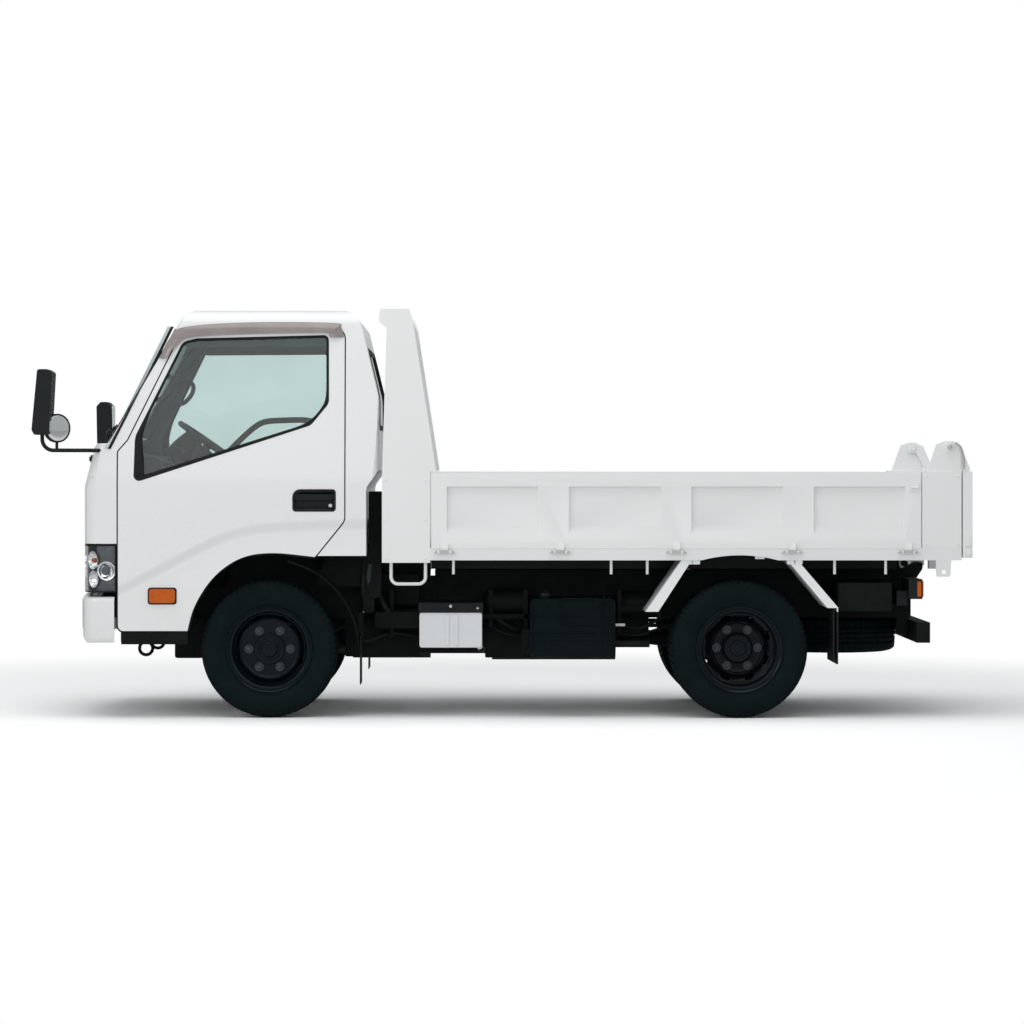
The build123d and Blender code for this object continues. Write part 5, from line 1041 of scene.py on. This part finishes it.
STUD_R, WASHER_R = 9.4, 24


def pierced_disc(profile, hole_r, hole_half, ring, turn):
    """A disc whose height over radius is the profile, pierced by round-ended holes. Each eighth of the ring
    is a grid of an angle round the hole and a share from the hole's edge to the eighth's own border."""
    profile = np.asarray(profile, float)
    half_step = math.pi / HAND_HOLES
    s = np.linspace(0, 2 * np.pi, HOLE_STEPS, endpoint=False) + np.pi / HOLE_STEPS
    c, d = np.cos(s), np.sin(s)
    scale = 1 / np.maximum(np.abs(c), np.abs(d))
    r_border = np.where(c > 0, ring[1] - hole_r, hole_r - ring[0]) * c * scale + hole_r
    a_border = half_step * d * scale
    r_edge = hole_r + hole_half[0] * np.sign(c) * np.abs(c) ** HOLE_ROUNDNESS
    a_edge = hole_half[1] / hole_r * np.sign(d) * np.abs(d) ** HOLE_ROUNDNESS
    t = np.linspace(0, 1, 6)[:, None]
    r = r_edge + (r_border - r_edge) * t
    a = a_edge + (a_border - a_edge) * t
    height = np.interp(r, profile[:, 0], profile[:, 1])
    parts = []
    for index in range(HAND_HOLES):
        angle = a + 2 * half_step * (index + 0.5) + turn
        top = points_of(r * np.cos(angle), height, r * np.sin(angle))
        parts.append(sheet_of(np.concatenate([top[:1] + (0, HOLE_LIP, 0), top]), wrap_cols=True))
    return parts


def nut(angle, y):
    """A hexagon nut with a chamfered crown over its stud, and a washer."""
    at = np.array([STUD_CIRCLE * math.cos(angle), STUD_CIRCLE * math.sin(angle)])
    hexagon, top = circle(NUT_R, 6), y - NUT_TALL
    return [slab(hexagon + at, top, y), slab(hexagon * NUT_CROWN_SHARE + at, top - NUT_CROWN, top),
            peg((at[0], top - 8, at[1]), STUD_R, 14, sides=18, dome=2.5),
            peg((at[0], y - 1.5, at[1]), WASHER_R, 6, sides=28)]


def valve(radius, angle, y):
    way = np.array([math.cos(angle), 0, math.sin(angle)])
    return tube([way * (radius - inwards) + (0, y - out, 0) for inwards, out in ((0, 0), (14, 16), (17, 36))], 4, 10)


def front_rim(turn):
    """Barrel, disc, hub and valve about the wheel's middle, the outside to -y."""
    edge = circle(EDGE_ROLL, 10) + (157, -55.6)
    return [turned(FRONT_BARREL), turned(FRONT_CENTRE), turned(FRONT_HUB, 64),
            *pierced_disc(FRONT_DISC, 178, (10.5, 30), (158, 196), turn),
            turned(edge, closed=True), valve(190, 0.9 + turn, -58)]


def rear_rim(turn):
    """Two barrels and the dished outer disc, about the middle of the twins, the outside to -y."""
    bolts = [peg((HUB_BOLT_CIRCLE * math.cos(a), -87.5, HUB_BOLT_CIRCLE * math.sin(a)), 5.5, 7, sides=6)
             for a in (k * math.pi / 6 for k in range(HUB_BOLTS))]
    outer, inner = REAR_BARREL + (0, -TWIN_HALF), REAR_BARREL * (1, -1) + (0, TWIN_HALF)
    return [turned(outer, closed=True), turned(inner, closed=True),
            turned(REAR_CENTRE), turned(REAR_HUB, 64),
            *pierced_disc(REAR_DISC, 172, (12, 27), (137, 196), turn), *bolts,
            valve(186, 0.5 + turn, -60)]


SIDES = (("left", 1, 0), ("right", -1, RIGHT_TURN))
for side, sign, turn in SIDES:
    at_front, at_rear = (0, -sign * FRONT_TRACK_HALF, WHEEL_Z), (WHEELBASE, -sign * REAR_TRACK_HALF, WHEEL_Z)
    piece(f"rim_front_{side}_turned", [moved(part, at_front, sign) for part in front_rim(turn)], [gloss_black],
          f"front_{side}_wheel", FLAT, replaces=(f"rim_front_{side}",))
    piece(f"rims_rear_{side}_turned", [moved(part, at_rear, sign) for part in rear_rim(turn)], [gloss_black],
          f"rear_{side}_wheels", FLAT, replaces=(f"rims_rear_{side}",))
for side, sign, turn in SIDES:
    for kind, x, track, face, body in (("front", 0, FRONT_TRACK_HALF, FRONT_FACE, f"front_{side}_wheel"),
                                       ("rear", WHEELBASE, REAR_TRACK_HALF, REAR_FACE, f"rear_{side}_wheels")):
        nuts = [moved(part, (x, -sign * track, WHEEL_Z), sign)
                for k in range(STUDS) for part in nut(k * math.pi / 3 + turn, face)]
        piece(f"wheel_nuts_{kind}_{side}", nuts, [nut_dark], body, CRISP)
drums = both(moved(turned(DRUM, 64), (0, 60 - FRONT_TRACK_HALF, WHEEL_Z)))
for side, drum in zip(("left", "right"), drums):
    piece(f"brake_drum_{side}", [drum], [iron], f"{side}_knuckle")

# the spare lies flat on the carrier under the tail: its axis is turned from y to z
SPARE_MIDDLE = (3082, 0, 421.7)
spare = [(points[:, [0, 2, 1]] * MIRRORED_Z + SPARE_MIDDLE, faces)
         for points, faces in (TYRE, *front_rim(0))]
piece("spare_wheel_tread", spare, [tyre_rubber, gloss_black], "chassis", FLAT,
      replaces=("spare_wheel",), picks=[0] + [1] * (len(spare) - 1))

# ---- bed fittings ----
BOARD_HINGES = np.linspace(941, 3426, 5)
for side, sign in (("left", 1), ("right", -1)):
    pins = []
    for x in BOARD_HINGES:
        pins += [peg((x + shift, -867 * sign, 893), 8.5, 4, dome=0.8 * sign) for shift in (-43, 43)]
        pins.append(plate(x - 26, x + 26, 885, 903, 5, *sorted((-869.6 * sign, -866 * sign))))
        pins += [peg((x + shift, -860 * sign, 890), 6, 6, axis="x") for shift in (-53, 53)]
    piece(f"board_hinge_rivets_{side}", pins, [zinc], f"{side}_board")
    catch = [plate(3430, 3488, 1216, 1262, 8, *sorted((-852 * sign, -846 * sign))),
             tube([(3440, -858 * sign, 1239), (3480, -858 * sign, 1239)], 6, 12)]
    piece(f"board_catch_{side}", catch, [bed_white], f"{side}_board", MIXED, 1)
# the drop hooks by the tailgate's ears, bent round bars, and the ears' bolts
hook_line = curve_through([(3678, -862, 1478), (3706, -862, 1452), (3722, -860, 1400),
                           (3726, -858, 1340)])
ear_parts = [tube(hook_line * flip, 6.5, 12) for flip in ((1, 1, 1), MIRRORED)]
for sign in (1, -1):
    ear_parts += [peg((3651, -852 * sign, 1456), 15, 20, sides=6),
                  peg((3651, -860 * sign, 1456), 9, 14, dome=3 * sign)]
piece("ear_bolts", ear_parts, [zinc], "bed")
BED_RIVETS = [(x, z, 6.5) for z in (856, 1276, 1066) for x in (628, 838)]
BED_RIVETS += [(x, z, 6) for z in (935, 1300) for x in (3524, 3692)]
rivets = [peg((x, -848.5 * sign, z), radius, 5, dome=2 * sign) for sign in (1, -1) for x, z, radius in BED_RIVETS]
piece("bed_rivets", rivets, [bed_white], "bed")
# a bead of weld along each sill: its start, length, height and the bed's half width
WELD_X, WELD_LENGTH, WELD_Z, WELD_Y = 872, 2628, 913.5, 847.5
weld_x = WELD_X + WELD_LENGTH * np.linspace(0, 1, 438)
welds = [tube(points_of(weld_x, -WELD_Y * sign, WELD_Z), 2.6, 6) for sign in (1, -1)]
piece("sill_welds", welds, [bed_white], "bed", CURVED)
flaps = [plate(3026, 3034, 300, 585, 2, -836, -500, steps=3)]
flaps += [tube([(3035, y, 310), (3035, y, 560)], 2.6, 8) for y in (-780, -700, -620, -540)]
piece("rear_flaps", both(*flaps), [seal_black], "bed")

# ---- under the frame: tank, battery cover, hoses, house plates ----
TANK_FACE, STRAP_HALF = -800.5, 19
band, under_band = oblong(-803, -346, 329, 643, 30, 7), oblong(-799.5, -349.5, 332.5, 639.5, 27, 7)
straps = []
for x in (1494, 1768):
    rows = [in_yz(loop, x + side) for side, loop in ((-STRAP_HALF, under_band), (-STRAP_HALF, band),
                                                     (STRAP_HALF, band), (STRAP_HALF, under_band))]
    straps += [sheet_of(np.stack(rows, axis=0), wrap_rows=True, wrap_cols=True),
               peg((x, -806, 600), 7, 12, dome=2)]
piece("tank_straps", straps, [tank_black], "chassis")
seams = [tube(points_of(np.linspace(1432, 1832, 30), TANK_FACE, z), 5, 8) for z in (420, 552)]
tank_end = oblong(-801, -348, 334, 638, 28, 7)
seams += [tube(in_yz(tank_end, x), 3.5, 8, closed=True) for x in (1416, 1847)]
seams += [tube([(1406, -801.5, z), (1856, -801.5, z)], radius, 8) for z, radius in ((460, 4), (450, 3))]
seams.append(tube(in_xz(oblong(1562, 1780, 500, 640, 16, 5), TANK_FACE), 6, 8, closed=True))
seams += [tube([(x, -800, 480), (x, -800, 655)], 5, 8) for x in (1800, 1826)]
piece("tank_seams", seams, [tank_black], "chassis", CURVED)
points, faces = turned([(0.01, 34), (20, 34), (27, 31), (31, 24), (31, 4), (29, 0), (0.01, 0)],
                       40)
cap = [(points[:, [0, 2, 1]] + (1485, -700, 640), faces),
       tube([(1485, -700, 676), (1485, -676, 680), (1485, -700, 684)], 4, 8)]
piece("tank_cap", cap, [grained_black], "chassis")
cover_ribs = [plate(x - 9, x + 9, 388, 556, 8, -796, -788) for x in (958, 1006)]
lid_ribs = [plate(x - 5, x + 5, 572, 612, 2, -800, -794, steps=3) for x in np.linspace(822, 1130, 15)]
lid_nuts = [peg((975, -800, 600), 9, 12, dome=3), peg((1120, -798, 590), 6, 8)]
piece("battery_cover_ribs", cover_ribs, [cover_white], "chassis", MIXED, 2)
piece("battery_lid_ribs", lid_ribs, [grained_black], "chassis", MIXED, 1)
piece("battery_lid_nuts", lid_nuts, [zinc], "chassis")

# black sheets of painted shade that close the see-through gaps under the frame and the cab, standing in for the engine
# and gearbox parts in shade: x limits, y limits, z limits and corner radius
SHADE_SHEETS = ((392, 800, -352, -344, 306, 604, 8), (600, 862, -356, -350, 600, 870, 4),
           (862, 900, -356, -350, 600, 752, 4), (800, 1160, -352, -344, 330, 604, 8),
           (1160, 1404, -352, -344, 300, 700, 8), (1862, 2060, -352, -344, 420, 604, 8),
           (-540, -384, -406, -352, 300, 520, 14), (-384, -330, -400, -352, 380, 520, 10))
BRACKETS = ((1180, 1204, -500, -352, 470, 680, 4), (1370, 1394, -520, -352, 440, 680, 4),
            (1880, 1904, -520, -352, 440, 680, 4), (2100, 2124, -500, -352, 520, 680, 4),
            (640, 664, -520, -352, 420, 680, 4), (1358, 1404, -640, -600, 340, 470, 8),
            (560, 820, -560, -352, 470, 560, 12), (1150, 1400, -520, -352, 520, 548, 6),
            (1862, 2130, -500, -352, 560, 590, 6))
# the sheets of painted shade go in as black pieces of the chassis
piece("underbody_shade_sheets", [block(*limits) for limits in SHADE_SHEETS], [chassis_black], "chassis", MIXED, 1)
house = [prism([(240, 700), (512, 700), (512, 872), (300, 872)], 10, -604, -598),
         prism([(-330, 520), (500, 520), (500, 868), (-200, 868)], 30, -398, -392, 5),
         block(500, 560, -640, -352, 560, 866, 10), block(560, 800, -420, -352, 592, 760, 8)]
piece("wheel_house_plates", both(*house), [chassis_black], "chassis")
# radius, then points along the hose; the last one is the grey intake hose
HOSES = (
    (17, (560, -520, 700), (600, -560, 620), (640, -540, 560), (720, -470, 548), (800, -430, 560)),
    (13, (480, -560, 960), (504, -620, 800), (500, -630, 660), (520, -560, 560)),
    (11, (1150, -430, 560), (1230, -500, 520), (1320, -470, 470), (1400, -430, 500)),
    (9, (1150, -400, 500), (1270, -420, 440), (1400, -400, 420)),
    (10, (1870, -420, 500), (2000, -480, 470), (2120, -460, 520), (2240, -400, 540)),
    (8, (1870, -400, 450), (1990, -440, 430), (2140, -420, 470)),
    (11, (420, -410, 420), (520, -460, 400), (640, -440, 440), (800, -400, 420)),
    (15, (500, -600, 960), (540, -640, 850), (530, -650, 740), (560, -600, 640)),
)
hoses = [bent(run, radius, 10, 10) for radius, *run in HOSES]
piece("air_and_brake_hoses", hoses[:-1], [seal_black], "chassis", CURVED)
piece("intake_hose", hoses[-1:], [trim_dark], "chassis", CURVED)
air_tanks = [peg((1276, -430, 610), 74, 190, axis="x", sides=36, dome=26),
             peg((2010, -430, 600), 66, 240, axis="x", sides=36, dome=24)]
piece("air_tanks", air_tanks, [chassis_black], "chassis")
piece("frame_brackets", [block(*limits) for limits in BRACKETS], [chassis_black], "chassis", MIXED, 1.5)
fasteners = [plate(1866, 1918, 486, 500, 3, -640, -560, steps=3),
             peg((1130, -560, 372), 16, 20), peg((470, -500, 470), 7, 20),
             peg((500, -560, 560), 6, 20)]
piece("bright_fasteners", fasteners, [zinc], "chassis")
tie_ring = tube(in_xz(circle(17, 24) + (1138, 352), -420), 4, 8, closed=True)
piece("tie_ring", [tie_ring], [nut_dark], "chassis", CURVED)
mud_tabs = [plate(x - 22, x + 22, 826, 850, 5, -838, -830, steps=3)
            for x in (2250, 2290, 2800, 2840)]
piece("mudguard_tabs", both(*mud_tabs), [guard_white], "bed")

# ---- rear lamps, plate, reflectors ----
lenses = [plate(y0, y1, 648, 734, 8, 3513, 3521, "x")
          for y0, y1 in ((-752, -660), (-656, -566), (-562, -500))]
lenses.append(plate(3486, 3508, 650, 732, 5, -764, -758))
piece("rear_lamp_lenses", both(*lenses), [amber, red_lens, white_lens], "chassis", FLAT, 2,
      picks=[0, 0, 1, 1, 2, 2, 0, 0])
rear_plate = [plate(-170, 170, 520, 690, 8, 3502, 3508, "x"),
              plate(-164, 164, 526, 684, 6, 3507, 3511, "x"),
              plate(-40, 40, 690, 712, 6, 3490, 3530, "x")]
piece("rear_plate", rear_plate, [grained_black, plate_blank], "chassis", FLAT, 1, picks=[0, 1, 0])
stripes = [plate(y - 60, y + 60, 438, 478, 6, 3555, 3561, "x") for y in (-560, 560)]
piece("rear_reflectors", stripes, [red_lens], "chassis", FLAT, 1)
marker = [peg((-948, -560, 1391), 22, 74, axis="x", sides=24), peg((-986, -560, 1391), 12, 12, "x")]
piece("front_marker", marker, [grained_black], "cab", MIXED, 3)

# ---- mirrors' faces: two flat ones and a round one turned inwards about its own middle ----
ROUND_MIDDLE, ROUND_TURN = np.array([-1121, -962, 1555]), math.radians(36)
points, faces = peg(ROUND_MIDDLE, 68, 24, sides=48, dome=5)
x, y, z = (points - ROUND_MIDDLE).T
points = ROUND_MIDDLE + points_of(x * math.cos(ROUND_TURN) - y * math.sin(ROUND_TURN),
                                  x * math.sin(ROUND_TURN) + y * math.cos(ROUND_TURN), z)
mirror_faces = [plate(-1066, -914, 1536, 1850, 22, -1149, -1146, "x", 6),
                plate(892, 1066, 1494, 1704, 22, -1019, -1016, "x", 6), (points, faces)]
piece("mirror_faces", mirror_faces, [mirror_face], "cab", FLAT, 1)

# ---- floor, light and camera ----
FLOOR_NEAR, FLOOR_FAR, FLOOR_SEEN, FLOOR_REACH = 3.4, 6.5, 1.12, 60
FLOOR_DROP = -0.0005
WORLD_LIGHT = 0.50
CAMERA_X, CAMERA_AWAY, CAMERA_HEIGHT = 1138, 20050, 1375
LENS = 126
SHIFT_X, SHIFT_Y = 31 / 1024, -50 / 1024
# name, place, aim, size and power of each lamp
LIGHTS = (("overhead", (-0.5, -1.5, 7), (0, 0, 0.5), (9, 6), 250),
          ("front_fill", (-7, -7, 4), (0, 0, 1), (5, 4), 150),
          ("side_fill", (1, -9, 3.2), (0.2, 0, 1.2), (8, 3.5), 74))


def floor():
    """A plain pale floor: a grid of two parameters over the ground. The camera sees it near the truck as a
    matt white that keeps the shadow, and farther off as plain white."""
    reach = np.linspace(-FLOOR_REACH, FLOOR_REACH, 9)
    u, v = np.meshgrid(reach, reach, indexing="ij")
    points, faces = sheet_of(points_of(u, v, FLOOR_DROP))
    mesh = bpy.data.meshes.new("floor")
    mesh.from_pydata(points.tolist(), [], faces)
    made = surface("floor_white", (0.80, 0.80, 0.80), (0.82, 0.82, 0.82), 0.5, (0.9, 1), specular=0)
    seen = add(made, "BsdfDiffuse", {"Color": (FLOOR_SEEN, FLOOR_SEEN, FLOOR_SEEN, 1)})
    away = add(made, "VectorMath", {0: coordinates(made)}, operation="LENGTH").node.outputs["Value"]
    fade = add(made, "MapRange", {"Value": away, "From Min": FLOOR_NEAR, "From Max": FLOOR_FAR},
               interpolation_type="SMOOTHSTEP")
    near_far = add(made, "MixShader", {"Fac": fade, 1: seen, 2: add(made, "Emission")})
    ray = add(made, "LightPath").node.outputs["Is Camera Ray"]
    direct = add(made, "MixShader", {"Fac": ray, 1: shader_of(made).outputs["BSDF"], 2: near_far})
    wire(made, made.node_tree.nodes["Material Output"], {"Surface": direct})
    mesh.materials.append(made)
    ground = placed("floor", mesh)


def sky():
    """Soft white all round; what the camera sees directly or through glass is plain white."""
    world = bpy.data.worlds.new("studio")
    bpy.context.scene.world = world
    world.use_nodes = True
    world.node_tree.nodes.clear()
    light = add(world, "Background", {"Color": (0.97, 0.99, 1, 1), "Strength": WORLD_LIGHT})
    seen = add(world, "Background", {"Color": (1, 1, 1, 1), "Strength": 1})
    ray = add(world, "LightPath").node.outputs
    either = add(world, "Math", {0: ray["Is Camera Ray"], 1: ray["Is Transmission Ray"]}, operation="MAXIMUM")
    mix = add(world, "MixShader", {"Fac": either, 1: light, 2: seen})
    wire(world, world.node_tree.nodes.new("ShaderNodeOutputWorld"), {"Surface": mix})


def area_light(name, place, aim, size, power):
    lamp = bpy.data.lights.new(name, "AREA")
    lamp.shape = "RECTANGLE"
    lamp.size, lamp.size_y = size
    lamp.energy = power
    thing = placed(name, lamp)
    thing.location = place
    thing.rotation_euler = (Vector(aim) - Vector(place)).to_track_quat("-Z", "Y").to_euler()


def camera():
    """Level, square to the truck's left side, with the lens shifted to frame the truck."""
    made = bpy.data.cameras.new("camera")
    made.lens = LENS
    made.sensor_width = 36
    made.shift_x, made.shift_y = SHIFT_X, SHIFT_Y
    made.clip_end = 200
    thing = placed("camera", made)
    thing.location = to_row([(CAMERA_X, -CAMERA_AWAY, CAMERA_HEIGHT)])[0]
    thing.rotation_euler = (math.pi / 2, 0, 0)
    bpy.context.scene.camera = thing


floor()
sky()
for light in LIGHTS:
    area_light(*light)
camera()
bpy.context.scene.view_settings.view_transform = "Standard"
